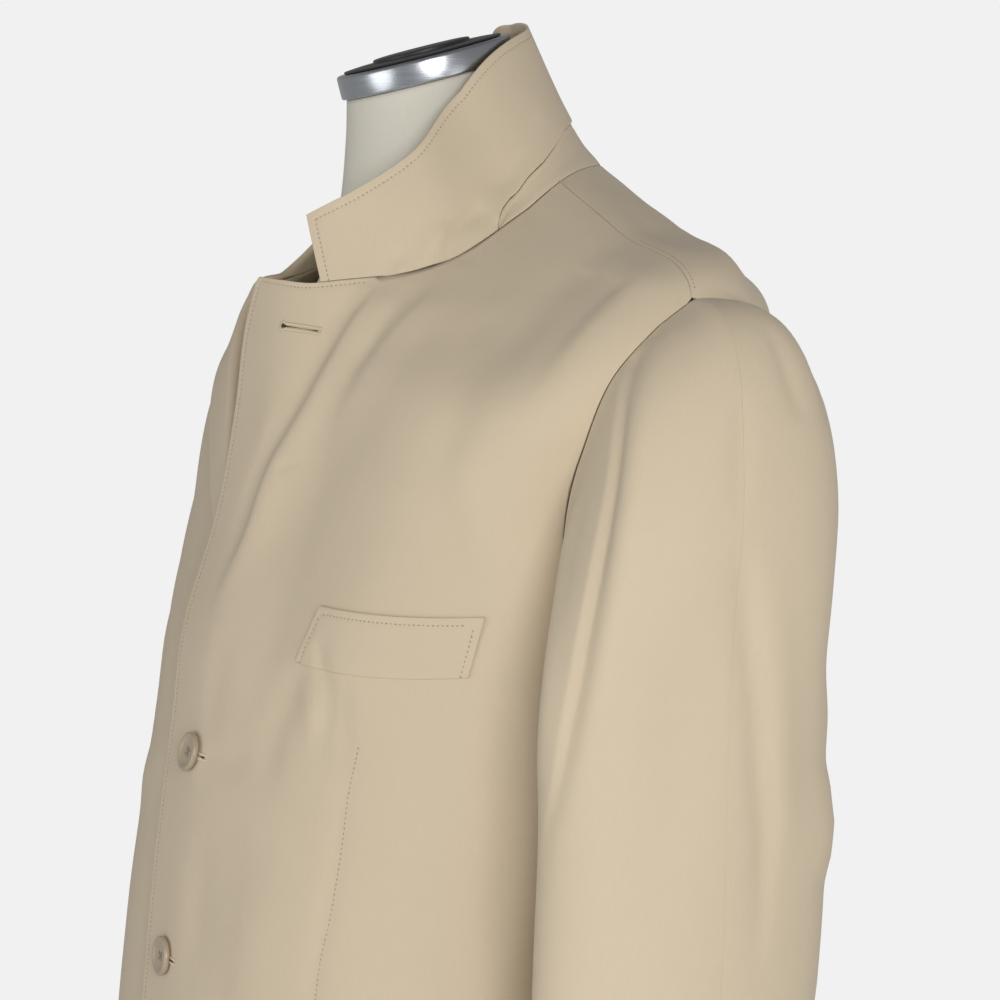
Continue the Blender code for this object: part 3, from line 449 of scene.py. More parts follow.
# from a sheet of points to a closed shell
def gridNormals(points, sign, around=False):
    if around:
        alongColumns = np.roll(points, -1, 1) - np.roll(points, 1, 1)
    else:
        alongColumns = np.gradient(points, axis=1)
    return unit(np.cross(alongColumns, np.gradient(points, axis=0))) * sign


def runLengths(points, axis):
    steps = np.linalg.norm(np.diff(points, axis=axis), axis=-1)
    start = np.zeros_like(np.take(steps, [0], axis))
    return np.concatenate([start, np.cumsum(steps, axis)], axis)


class Sheet:
    # a grid of outer points with its normals and its distances from each edge
    def __init__(self, points, sign, around=False):
        self.points, self.around, self.sign = points, around, sign
        self.normals = gridNormals(points, sign, around)
        self.rowRun = runLengths(points, 0)
        self.columnRun = runLengths(points, 1)
        self.uv = np.stack([self.columnRun, self.rowRun], -1)

    def raised(self, heights):
        self.points = self.points + self.normals * heights[..., None]
        self.normals = gridNormals(self.points, self.sign, self.around)
        return self

    def fromEdge(self, edge):
        if edge == "bottom":
            return self.rowRun
        if edge == "top":
            return self.rowRun[-1:] - self.rowRun
        if edge == "first":
            return self.columnRun
        return self.columnRun[:, -1:] - self.columnRun

    def nearestEdge(self):
        names = ("bottom", "top") if self.around else ("bottom", "top", "first", "last")
        return np.minimum.reduce([self.fromEdge(name) for name in names])

    def groove(self, edges, offset, depth, width=0.0010):
        # the dimpled line that a row of pick stitches pulls into the cloth
        for edge in edges:
            away = np.abs(self.fromEdge(edge) - offset)
            inside = np.ones_like(away)
            for other in [e for e in edges if e != edge]:
                inside = inside * smooth(self.fromEdge(other), offset - 0.002, offset)
            sunk = depth * inside * np.exp(-((away / width) ** 2))
            self.points = self.points - self.normals * sunk[..., None]
        return self

    def lineAt(self, edge, offset, keep=slice(None), lift=0.0):
        # points and normals along a line at one distance from an edge
        distance, surface = self.fromEdge(edge), self.points + self.normals * lift
        normals = self.normals
        if edge in ("bottom", "top"):
            distance, surface, normals = distance.T, surface.swapaxes(0, 1), normals.swapaxes(0, 1)
        line, up = [], []
        for row in range(len(distance)):
            order = np.argsort(distance[row])
            line.append([np.interp(offset, distance[row][order], surface[row][order, k]) for k in range(3)])
            up.append([np.interp(offset, distance[row][order], normals[row][order, k]) for k in range(3)])
        return np.array(line)[keep], unit(np.array(up))[keep]

    def solid(self, name, material, wall=cloth["wall"], mirror=False, line=None):
        near = np.minimum(self.nearestEdge(), cloth["edge"])
        inset = (cloth["edge"] - np.sqrt(cloth["edge"] ** 2 - (cloth["edge"] - near) ** 2))[..., None]
        outer = self.points - self.normals * inset
        inner = self.points - self.normals * (wall - inset)
        rows, columns = self.points.shape[:2]
        index = np.arange(rows * columns).reshape(rows, columns)
        if self.around:
            index = np.concatenate([index, index[:, :1]], 1)
        under = index + rows * columns

        def strips(a, b):
            return np.stack([a[:-1], a[1:], b[1:], b[:-1]], -1)

        faces = [
            np.stack([g[:-1, :-1], g[:-1, 1:], g[1:, 1:], g[1:, :-1]], -1).reshape(-1, 4)
            for g in (index, under[:, ::-1])
        ]
        faces += [strips(under[0], index[0]), strips(index[-1], under[-1])]
        if not self.around:
            faces += [strips(index[:, 0], under[:, 0]), strips(under[:, -1], index[:, -1])]
        points = np.concatenate([outer.reshape(-1, 3), inner.reshape(-1, 3)]) + (0, 0, seamHeight)
        if mirror:
            points = points * (-1, 1, 1)
        made = meshObject(name, points, np.concatenate(faces), material)
        addFlatMap(made, np.tile(self.uv.reshape(-1, 2), (2, 1)), self.around and self.columnRun.max())
        values = np.full(rows * columns, 1.0) if line is None else line.reshape(-1)
        setDrawnLine(made, np.tile(values, 2))
        return faceOut(made)


def linked(name, data):
    made = bpy.data.objects.new(name, data)
    bpy.context.scene.collection.objects.link(made)
    return made


def settled(made):
    # what the live modifiers make becomes the object's own plain mesh
    plain = bpy.data.meshes.new_from_object(made.evaluated_get(bpy.context.evaluated_depsgraph_get()))
    made.modifiers.clear()
    made.data = plain


def setDrawnLine(made, values):
    # the signed distance from a seam, along which the cloth's material sinks a groove and darkens its colour
    # as painted shade
    drawn = made.data.attributes.new("drawnLine", "FLOAT", "POINT")
    drawn.data.foreach_set("value", values.astype(np.float32))


def meshObject(name, points, faces, material, smoothShade=True):
    mesh = bpy.data.meshes.new(name)
    mesh.from_pydata(np.asarray(points, float).tolist(), [], [list(map(int, f)) for f in faces])
    made = linked(name, mesh)
    if smoothShade:
        mesh.shade_smooth()
    mesh.materials.append(material)
    return made


def addFlatMap(made, flat, around):
    # the cloth's own lengths as its map, so that the weave follows the grain
    layer = made.data.uv_layers.new(name="clothMap")
    corners = np.empty(len(made.data.loops), np.int32)
    made.data.loops.foreach_get("vertex_index", corners)
    values = flat[corners]
    if around:
        loops = values.reshape(-1, 4, 2)
        wide = loops[..., 0].max(1) - loops[..., 0].min(1) > 0.5 * around
        low = loops[..., 0] < 0.5 * around
        loops[..., 0] = np.where(wide[:, None] & low, loops[..., 0] + around, loops[..., 0])
        values = loops.reshape(-1, 2)
    layer.data.foreach_set("uv", values.astype(np.float32).reshape(-1))


def faceOut(made):
    work = bmesh.new()
    work.from_mesh(made.data)
    bmesh.ops.recalc_face_normals(work, faces=work.faces)
    work.to_mesh(made.data)
    work.free()
    return made


def turnedMesh(name, profile, sides, material, place=(0, 0, 0), axis=(0, 0, 1), sharp=None):
    # a solid turned round an axis from (radius, height) pairs, from its underside to its top
    turn = np.linspace(0, 2 * math.pi, sides, endpoint=False)
    rings = [np.stack([r * np.cos(turn), r * np.sin(turn), np.full(sides, h)], -1) for r, h in profile]
    points = np.concatenate([[(0, 0, profile[0][1])], *rings, [(0, 0, profile[-1][1])]])
    k = np.arange(sides)
    n = (k + 1) % sides
    faces = [(0, 1 + b, 1 + a) for a, b in zip(k, n)]
    for row in range(len(profile) - 1):
        low, high = 1 + row * sides, 1 + (row + 1) * sides
        faces += [(low + a, low + b, high + b, high + a) for a, b in zip(k, n)]
    top = 1 + (len(profile) - 1) * sides
    faces += [(top + a, top + b, len(points) - 1) for a, b in zip(k, n)]
    points = points @ np.array(frameFor(axis)) + np.array(place)
    made = faceOut(meshObject(name, points, faces, material))
    if sharp:
        made.data.set_sharp_from_angle(angle=math.radians(sharp))
    return made


def frameFor(axis):
    up = unit(np.array(axis, float))
    side = unit(np.cross((0.0, 1.0, 0.0) if abs(up[1]) < 0.9 else (1.0, 0.0, 0.0), up))
    return [side, np.cross(up, side), up]


# shader groups, each built once and placed where it is wanted
def newGroup(name, inputs, outputs):
    tree = bpy.data.node_groups.new(name, "ShaderNodeTree")
    for label, kind, value in inputs:
        socket = tree.interface.new_socket(label, in_out="INPUT", socket_type=kind)
        if value is not None:
            socket.default_value = value
    for label, kind in outputs:
        tree.interface.new_socket(label, in_out="OUTPUT", socket_type=kind)
    return tree, tree.nodes.new("NodeGroupInput"), tree.nodes.new("NodeGroupOutput")


def mathNode(tree, operation, a, b=None, clamp=False):
    node = tree.nodes.new("ShaderNodeMath")
    node.operation = operation
    node.use_clamp = clamp
    for socket, value in zip(node.inputs, (a, b)):
        if value is None:
            continue
        if isinstance(value, bpy.types.NodeSocket):
            tree.links.new(value, socket)
        else:
            socket.default_value = value
    return node.outputs[0]


def times(tree, a, b):
    return mathNode(tree, "MULTIPLY", a, b)


def plus(tree, a, b):
    return mathNode(tree, "ADD", a, b)


def noiseNode(tree, vector, scale, detail, roughness):
    node = tree.nodes.new("ShaderNodeTexNoise")
    for label, value in (("Vector", vector), ("Scale", scale), ("Detail", detail), ("Roughness", roughness)):
        if isinstance(value, bpy.types.NodeSocket):
            tree.links.new(value, node.inputs[label])
        else:
            node.inputs[label].default_value = value
    return node.outputs["Fac"]


def makeWeave():
    # crossing threads from a map in metres; Slub makes the threads uneven
    tree, into, out = newGroup(
        "threadWeave",
        (
            ("Map", "NodeSocketVector", None), ("Pitch", "NodeSocketFloat", 0.0005),
            ("Slub", "NodeSocketFloat", 0.4)
        ),
        (("Height", "NodeSocketFloat"), ("Tint", "NodeSocketFloat")),
    )
    split = tree.nodes.new("ShaderNodeSeparateXYZ")
    tree.links.new(into.outputs["Map"], split.inputs[0])
    pace = mathNode(tree, "DIVIDE", 2 * math.pi, into.outputs["Pitch"])
    warp = mathNode(tree, "SINE", times(tree, split.outputs["X"], pace))
    weft = mathNode(tree, "SINE", times(tree, split.outputs["Y"], pace))
    over = times(tree, warp, weft)
    stretched = tree.nodes.new("ShaderNodeMapping")
    stretched.inputs["Scale"].default_value = (1.0, 0.12, 1.0)
    tree.links.new(into.outputs["Map"], stretched.inputs["Vector"])
    slub = noiseNode(tree, stretched.outputs[0], 900.0, 2.0, 0.5)
    uneven = times(tree, mathNode(tree, "SUBTRACT", slub, 0.5), into.outputs["Slub"])
    tree.links.new(plus(tree, times(tree, over, 0.5), uneven), out.inputs["Height"])
    tree.links.new(plus(tree, 1.0, times(tree, uneven, 0.10)), out.inputs["Tint"])
    return tree


def makeMottle():
    # slow and fast unevenness of a surface as one number round 1
    tree, into, out = newGroup(
        "softMottle",
        (
            ("Place", "NodeSocketVector", None), ("Broad", "NodeSocketFloat", 9.0),
            ("Amount", "NodeSocketFloat", 0.03)
        ),
        (("Shade", "NodeSocketFloat"), ("Height", "NodeSocketFloat")),
    )
    broad = noiseNode(tree, into.outputs["Place"], into.outputs["Broad"], 3.0, 0.5)
    fine = noiseNode(tree, into.outputs["Place"], times(tree, into.outputs["Broad"], 14.0), 3.0, 0.6)
    both = plus(
        tree, mathNode(tree, "SUBTRACT", broad, 0.5), times(tree, mathNode(tree, "SUBTRACT", fine, 0.5), 0.5)
    )
    shade = plus(tree, 1.0, times(tree, both, times(tree, into.outputs["Amount"], 2.0)))
    tree.links.new(shade, out.inputs["Shade"])
    tree.links.new(both, out.inputs["Height"])
    return tree


def makeSeamGrooveAndShade():
    # a fine sunk line where the signed distance crosses nought; its Shade darkens the colour along the line,
    # painted shade of the groove
    tree, into, out = newGroup(
        "sunkSeamWithPaintedShade",
        (("Distance", "NodeSocketFloat", 1.0), ("Width", "NodeSocketFloat", 0.0007)),
        (("Height", "NodeSocketFloat"), ("Shade", "NodeSocketFloat")),
    )
    share = mathNode(tree, "DIVIDE", into.outputs["Distance"], into.outputs["Width"])
    bell = mathNode(tree, "EXPONENT", times(tree, times(tree, share, share), -1.0))
    tree.links.new(times(tree, bell, -1.0), out.inputs["Height"])
    tree.links.new(mathNode(tree, "SUBTRACT", 1.0, times(tree, bell, 0.22)), out.inputs["Shade"])
    return tree


def makeBrushed():
    # fine scratches that run round a turned part
    tree, into, out = newGroup(
        "brushedRun",
        (("Place", "NodeSocketVector", None), ("Fineness", "NodeSocketFloat", 900.0)),
        (("Rough", "NodeSocketFloat"), ("Height", "NodeSocketFloat")),
    )
    stretched = tree.nodes.new("ShaderNodeMapping")
    stretched.inputs["Scale"].default_value = (0.03, 0.03, 1.0)
    tree.links.new(into.outputs["Place"], stretched.inputs["Vector"])
    scratch = noiseNode(tree, stretched.outputs[0], into.outputs["Fineness"], 3.0, 0.6)
    tree.links.new(scratch, out.inputs["Height"])
    tree.links.new(plus(tree, 0.16, times(tree, scratch, 0.20)), out.inputs["Rough"])
    return tree


weaveGroup, mottleGroup, seamShadeGroup, brushedGroup = makeWeave(), makeMottle(), makeSeamGrooveAndShade(), makeBrushed()


def newMaterial(name, colour, roughness, **sockets):
    material = bpy.data.materials.new(name)
    material.use_nodes = True
    shader = material.node_tree.nodes["Principled BSDF"]
    shader.inputs["Base Color"].default_value = (*colour, 1)
    shader.inputs["Roughness"].default_value = roughness
    for label, value in sockets.items():
        shader.inputs[label.replace("_", " ")].default_value = value
    return material, material.node_tree, shader


def placeGroup(tree, group, **values):
    node = tree.nodes.new("ShaderNodeGroup")
    node.node_tree = group
    for label, value in values.items():
        if isinstance(value, bpy.types.NodeSocket):
            tree.links.new(value, node.inputs[label])
        else:
            node.inputs[label].default_value = value
    return node


def shaded(tree, colour, *shades):
    # a colour times one or more grey shades
    factor = shades[0]
    for more in shades[1:]:
        factor = times(tree, factor, more)
    tint = tree.nodes.new("ShaderNodeVectorMath")
    tint.operation = "SCALE"
    tint.inputs[0].default_value = colour
    tree.links.new(factor, tint.inputs["Scale"])
    return tint.outputs[0]


def bumped(tree, shader, *layers):
    # bump layers of (height, distance in metres, strength), one on another
    normal = None
    for height, distance, strength in layers:
        bump = tree.nodes.new("ShaderNodeBump")
        bump.inputs["Distance"].default_value = distance
        bump.inputs["Strength"].default_value = strength
        tree.links.new(height, bump.inputs["Height"])
        if normal is not None:
            tree.links.new(normal, bump.inputs["Normal"])
        normal = bump.outputs[0]
    tree.links.new(normal, shader.inputs["Normal"])


def clothMaterial(name, colour, pitch=0.00045, roughness=0.82, slub=0.5, wrinkle=0.0007):
    material, tree, shader = newMaterial(name, colour, roughness, Sheen_Weight=0.12, Sheen_Roughness=0.5)
    flat = tree.nodes.new("ShaderNodeUVMap")
    flat.uv_map = "clothMap"
    place = tree.nodes.new("ShaderNodeTexCoord").outputs["Object"]
    drawn = tree.nodes.new("ShaderNodeAttribute")
    drawn.attribute_name = "drawnLine"
    weave = placeGroup(tree, weaveGroup, Map=flat.outputs[0], Pitch=pitch, Slub=slub)
    mottle = placeGroup(tree, mottleGroup, Place=place, Broad=7.0, Amount=0.025)
    seam = placeGroup(tree, seamShadeGroup, Distance=drawn.outputs["Fac"], Width=0.0007)
    # the seam's Shade darkens the cloth along the sunk seams: painted shade of the groove
    colourOut = shaded(tree, colour, mottle.outputs["Shade"], weave.outputs["Tint"], seam.outputs["Shade"])
    tree.links.new(colourOut, shader.inputs["Base Color"])
    soft = noiseNode(tree, place, 22.0, 2.0, 0.5)
    bumped(
        tree, shader, (soft, wrinkle, 1.0), (seam.outputs["Height"], 0.0006, 1.0),
        (weave.outputs["Height"], 0.00010, 0.22)
    )
    return material


def plainMaterial(name, colour, roughness, amount=0.04, broad=30.0, bump=0.00005, **sockets):
    material, tree, shader = newMaterial(name, colour, roughness, **sockets)
    place = tree.nodes.new("ShaderNodeTexCoord").outputs["Object"]
    mottle = placeGroup(tree, mottleGroup, Place=place, Broad=broad, Amount=amount)
    tree.links.new(shaded(tree, colour, mottle.outputs["Shade"]), shader.inputs["Base Color"])
    rough = times(tree, roughness, mottle.outputs["Shade"])
    tree.links.new(rough, shader.inputs["Roughness"])
    bumped(tree, shader, (mottle.outputs["Height"], bump, 0.6))
    return material


def brushedMaterial(name, colour):
    material, tree, shader = newMaterial(name, colour, 0.25, Metallic=1.0)
    place = tree.nodes.new("ShaderNodeTexCoord").outputs["Object"]
    brushed = placeGroup(tree, brushedGroup, Place=place, Fineness=900.0)
    mottle = placeGroup(tree, mottleGroup, Place=place, Broad=12.0, Amount=0.03)
    tree.links.new(shaded(tree, colour, mottle.outputs["Shade"]), shader.inputs["Base Color"])
    tree.links.new(brushed.outputs["Rough"], shader.inputs["Roughness"])
    bumped(tree, shader, (brushed.outputs["Height"], 0.00003, 0.4))
    return material


beige = (0.625, 0.520, 0.372)
beigeCotton = clothMaterial("beigeCotton", beige)
canvasCotton = clothMaterial(
    "formCanvas", (0.66, 0.63, 0.54), pitch=0.0011, roughness=0.9, slub=0.8, wrinkle=0.0001
)
# the thread is the cloth's beige darkened: painted shade of the dimple each pick stitch pulls into the cloth
darkenedThread = plainMaterial("sewingThreadPaintedShade", (0.385, 0.312, 0.215), 0.6, amount=0.06, broad=200.0)
# near black: painted shade inside the buttonholes
holeShadeCloth = plainMaterial("buttonholePaintedShade", (0.030, 0.026, 0.020), 0.9)
buttonMaterial = plainMaterial(
    "buttonPolish", (0.43, 0.35, 0.24), 0.30, amount=0.12, broad=90.0, Coat_Weight=0.3, Coat_Roughness=0.2
)
chromeMaterial = brushedMaterial("brushedChrome", (0.42, 0.44, 0.47))
capMaterial = plainMaterial("blackCap", (0.020, 0.020, 0.022), 0.45)
standMaterial = plainMaterial(
    "standPaint", (0.045, 0.045, 0.050), 0.42, amount=0.10, broad=60.0, Metallic=0.5
)
print("materials made")


# stitches: one tree for every row of thread
def makeStitchTree():
    tree = bpy.data.node_groups.new("stitchRow", "GeometryNodeTree")
    tree.is_modifier = True
    face = tree.interface
    face.new_socket("Path", in_out="INPUT", socket_type="NodeSocketGeometry")
    for label, kind, value in (
        ("Pitch", "NodeSocketFloat", 0.0024), ("Length", "NodeSocketFloat", 0.0013),
        ("Width", "NodeSocketFloat", 0.00075),
        ("Height", "NodeSocketFloat", 0.00045), ("Turn", "NodeSocketFloat", 0.0),
        ("Uneven", "NodeSocketFloat", 0.10),
        ("Seed", "NodeSocketInt", 5), ("Thread", "NodeSocketMaterial", None),
    ):
        socket = face.new_socket(label, in_out="INPUT", socket_type=kind)
        if value is not None:
            socket.default_value = value
    face.new_socket("Stitches", in_out="OUTPUT", socket_type="NodeSocketGeometry")
    nodes, links = tree.nodes, tree.links
    into, out = nodes.new("NodeGroupInput"), nodes.new("NodeGroupOutput")
    toCurve = nodes.new("GeometryNodeMeshToCurve")
    links.new(into.outputs["Path"], toCurve.inputs["Mesh"])
    spaced = nodes.new("GeometryNodeResampleCurve")
    spaced.mode = "LENGTH"
    links.new(toCurve.outputs["Curve"], spaced.inputs["Curve"])
    links.new(into.outputs["Pitch"], spaced.inputs["Length"])
    tangent = nodes.new("GeometryNodeInputTangent")
    alongIt = nodes.new("FunctionNodeAlignRotationToVector")
    alongIt.axis = "X"
    links.new(tangent.outputs[0], alongIt.inputs["Vector"])
    upward = nodes.new("GeometryNodeInputNamedAttribute")
    upward.data_type = "FLOAT_VECTOR"
    upward.inputs["Name"].default_value = "up"
    standing = nodes.new("FunctionNodeAlignRotationToVector")
    standing.axis = "Z"
    standing.pivot_axis = "X"
    links.new(alongIt.outputs[0], standing.inputs["Rotation"])
    links.new(upward.outputs["Attribute"], standing.inputs["Vector"])

    def randomValue(low, high, offset):
        node = nodes.new("FunctionNodeRandomValue")
        node.data_type = "FLOAT"
        seed = nodes.new("ShaderNodeMath")
        seed.operation = "ADD"
        seed.inputs[1].default_value = offset
        links.new(into.outputs["Seed"], seed.inputs[0])
        links.new(seed.outputs[0], node.inputs["Seed"])
        floats = [s for s in node.inputs if s.type == "VALUE"]
        for socket, value in zip(floats[:2], (low, high)):
            socket.default_value = value
        return [s for s in node.outputs if s.type == "VALUE"][0]

    sway = nodes.new("ShaderNodeMath")
    sway.operation = "MULTIPLY_ADD"
    links.new(randomValue(-1.0, 1.0, 0), sway.inputs[0])
    links.new(into.outputs["Uneven"], sway.inputs[1])
    links.new(into.outputs["Turn"], sway.inputs[2])
    turning = nodes.new("FunctionNodeAxisAngleToRotation")
    turning.inputs["Axis"].default_value = (0, 0, 1)
    links.new(sway.outputs[0], turning.inputs["Angle"])
    turned = nodes.new("FunctionNodeRotateRotation")
    turned.rotation_space = "LOCAL"
    links.new(standing.outputs[0], turned.inputs["Rotation"])
    links.new(turning.outputs[0], turned.inputs["Rotate By"])
    stitch = nodes.new("GeometryNodeMeshUVSphere")
    stitch.inputs["Segments"].default_value = 6
    stitch.inputs["Rings"].default_value = 4
    stitch.inputs["Radius"].default_value = 0.5
    softened = nodes.new("GeometryNodeSetShadeSmooth")
    links.new(stitch.outputs["Mesh"], softened.inputs["Geometry"])
    sizes = nodes.new("ShaderNodeCombineXYZ")
    for axis, label in zip("XYZ", ("Length", "Width", "Height")):
        links.new(into.outputs[label], sizes.inputs[axis])
    grown = nodes.new("ShaderNodeVectorMath")
    grown.operation = "SCALE"
    links.new(sizes.outputs[0], grown.inputs[0])
    links.new(randomValue(0.85, 1.12, 7), grown.inputs["Scale"])
    placed = nodes.new("GeometryNodeInstanceOnPoints")
    links.new(spaced.outputs["Curve"], placed.inputs["Points"])
    links.new(softened.outputs["Geometry"], placed.inputs["Instance"])
    links.new(turned.outputs[0], placed.inputs["Rotation"])
    links.new(grown.outputs[0], placed.inputs["Scale"])
    real = nodes.new("GeometryNodeRealizeInstances")
    links.new(placed.outputs[0], real.inputs[0])
    dressed = nodes.new("GeometryNodeSetMaterial")
    links.new(real.outputs[0], dressed.inputs["Geometry"])
    links.new(into.outputs["Thread"], dressed.inputs["Material"])
    links.new(dressed.outputs[0], out.inputs["Stitches"])
    return tree


stitchTree = makeStitchTree()


def stitchRow(name, lines, thread=None, **sizes):
    # lines are (points, ups) pairs in seam heights; every line gets its own row of stitches
    points, ups, edges = [], [], []
    for line, up in lines:
        first = sum(len(p) for p in points)
        points.append(np.asarray(line))
        ups.append(np.asarray(up))
        edges += [(first + i, first + i + 1) for i in range(len(line) - 1)]
    mesh = bpy.data.meshes.new(name)
    mesh.from_pydata((np.concatenate(points) + (0, 0, seamHeight)).tolist(), edges, [])
    up = mesh.attributes.new("up", "FLOAT_VECTOR", "POINT")
    up.data.foreach_set("vector", np.concatenate(ups).astype(np.float32).reshape(-1))
    made = linked(name, mesh)
    row = made.modifiers.new("stitches", "NODES")
    row.node_group = stitchTree
    sockets = {
        item.name: item.identifier for item in stitchTree.interface.items_tree if item.in_out == "INPUT"
    }
    row[sockets["Thread"]] = thread or darkenedThread
    for label, value in sizes.items():
        row[sockets[label]] = value
    made.data.update()
    bpy.context.view_layer.update()
    settled(made)
    return made


def flipped(line):
    # the same row on the other side of the body
    points, ups = line
    return points * (-1, 1, 1), ups * (-1, 1, 1)


def finishPiece(made, slotName, *nodes):
    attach(made, "root")
    if nodes:
        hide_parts(*nodes)
    return made


# the two fronts
frontSizes = {
    1: {"rows": 220, "body": 84, "bend": 6, "flat": 22, "stitchIn": 0.0044, "stitchDepth": 0.00022},
    -1: {"rows": 200, "body": 70, "bend": 14, "flat": 14, "stitchIn": 0.0044, "stitchDepth": 0.00018},
}
# listed creases: path of (x, height) in the front view, half width, depths along it (+ is a ridge);
# lean widens the side on the left of its run
leftCreases = {
    "rollCrest": {
        "path": (
            (0.0745, -0.060), (0.0690, -0.0943), (0.0607, -0.1174), (0.0500, -0.1377), (0.0390, -0.1578),
            (0.0320, -0.1953), (0.0240, -0.2198), (0.0190, -0.2430)
        ),
        "width": 0.0085, "depth": (0.0016, 0.0030, 0.0034, 0.0030, 0.0024, 0.0014), "lean": 0.45,
        "fade": (0.06, 0.3)
    },
    "rollHollow": {
        "path": (
            (0.0650, -0.064), (0.0590, -0.0930), (0.0500, -0.1174), (0.0380, -0.1400), (0.0270, -0.1650),
            (0.0200, -0.1960), (0.0120, -0.2250)
        ),
        "width": 0.0080, "depth": (-0.0010, -0.0020, -0.0022, -0.0020, -0.0014), "fade": (0.06, 0.3)
    },
    "rollSecond": {
        "path": (
            (0.0900, -0.0495), (0.0985, -0.0680), (0.0985, -0.0842), (0.0950, -0.1045), (0.0850, -0.1277),
            (0.0700, -0.1500)
        ),
        "width": 0.0110, "depth": (0.0014, 0.0022, 0.0020, 0.0012, 0.0006), "lean": 0.50,
        "fade": (0.05, 0.45)
    },
    "rollBetween": {"path": ((0.0830, -0.0600), (0.0870, -0.0820), (0.0830, -0.1045), (0.0740, -0.1277)),
                    "width": 0.0050, "depth": (-0.0008, -0.0012, -0.0006), "fade": (0.1, 0.5)},
    "shortNick": {
        "path": ((0.0560, -0.1500), (0.0490, -0.1540), (0.0450, -0.1580)), "width": 0.0022,
        "depth": (-0.0007, -0.0011, -0.0005)
    },
    "thirdFold": {
        "path": (
            (0.1328, -0.0701), (0.1427, -0.0919), (0.1632, -0.1164), (0.1675, -0.1349), (0.1609, -0.1629)
        ),
        "width": 0.0130, "depth": (-0.0008, -0.0016, -0.0018, -0.0010)
    },
    "chestLine": {
        "path": ((0.1800, -0.1300), (0.1756, -0.1484), (0.1785, -0.1809), (0.1790, -0.2100)),
        "width": 0.0120, "depth": (0.0008, 0.0018, 0.0016, 0.0006)
    },
    "shoulderTent": {
        "path": (
            (0.2050, -0.0560), (0.2058, -0.0697), (0.2063, -0.0857), (0.2055, -0.1041), (0.2000, -0.1224)
        ),
        "width": 0.0110, "depth": (0.0018, 0.0032, 0.0034, 0.0022, 0.0010), "lean": 0.25, "fade": (0.0, 0.4)
    },
    "tentHollow": {
        "path": (
            (0.1889, -0.0540), (0.1780, -0.0600), (0.1591, -0.0652), (0.1630, -0.0837), (0.1650, -0.1022),
            (0.1674, -0.1254)
        ),
        "width": 0.0170, "depth": (-0.0004, -0.0008, -0.0016, -0.0024, -0.0022, -0.0010),
        "fade": (0.15, 0.4)
    },
    "armFold": {
        "path": ((0.2071, -0.1289), (0.2048, -0.1624), (0.1917, -0.1898)), "width": 0.0120,
        "depth": (-0.0012, -0.0026, -0.0012)
    },
    "pocketFold": {
        "path": ((0.1080, -0.2300), (0.1191, -0.2600), (0.1184, -0.2786), (0.1200, -0.3000)),
        "width": 0.0046, "depth": (-0.0012, -0.0020, -0.0016, -0.0004), "lean": 0.3, "fade": (0.15, 0.5)
    },
    "pocketRidge": {
        "path": ((0.1010, -0.2480), (0.1100, -0.2680), (0.1110, -0.2900)), "width": 0.0050,
        "depth": (0.0006, 0.0012, 0.0004), "fade": (0.2, 0.5)
    },
    "pocketShort": {
        "path": ((0.1260, -0.2460), (0.1297, -0.2700), (0.1335, -0.3011)), "width": 0.0040,
        "depth": (-0.0006, -0.0012, -0.0006), "fade": (0.2, 0.5)
    },
    "dartSink": {
        "path": (
            (0.1356, -0.2812), (0.1327, -0.3051), (0.1328, -0.3306), (0.1323, -0.3623), (0.1305, -0.3837),
            (0.1304, -0.4200), (0.1300, -0.4600)
        ),
        "width": 0.0050, "depth": (-0.0004, -0.0010, -0.0012, -0.0010, -0.0004), "fade": (0.15, 0.4)
    },
    "breakDrag": {
        "path": ((0.0399, -0.2282), (0.0342, -0.2685), (0.0400, -0.2950)), "width": 0.0100,
        "depth": (-0.0006, -0.0016, -0.0008)
    },
    "buttonDrag": {
        "path": ((0.0300, -0.2980), (0.0624, -0.2946), (0.0900, -0.2700)), "width": 0.0090,
        "depth": (-0.0012, -0.0012, -0.0004), "fade": (0.1, 0.6)
    },
    "lowerSweep": {
        "path": ((0.0453, -0.3266), (0.0430, -0.3663), (0.0500, -0.4100)), "width": 0.0140,
        "depth": (-0.0006, -0.0018, -0.0010)
    },
    "waistSoft": {
        "path": ((0.1000, -0.3300), (0.0900, -0.3800), (0.0980, -0.4400)), "width": 0.0180,
        "depth": (0.0006, 0.0018, 0.0008)
    },
    "sideLine": {
        "path": ((0.1847, -0.2272), (0.1849, -0.2832), (0.1828, -0.3406), (0.1800, -0.4000)),
        "width": 0.0110, "depth": (-0.0008, -0.0018, -0.0018, -0.0008)
    },
    "hemSweep": {
        "path": ((0.060, -0.700), (0.085, -0.610), (0.080, -0.520)), "width": 0.0160,
        "depth": (-0.0010, -0.0024, -0.0006)
    },
    "sideSweep": {
        "path": ((0.150, -0.715), (0.160, -0.620), (0.150, -0.540)), "width": 0.0180,
        "depth": (0.0012, 0.0024, 0.0006)
    },
}
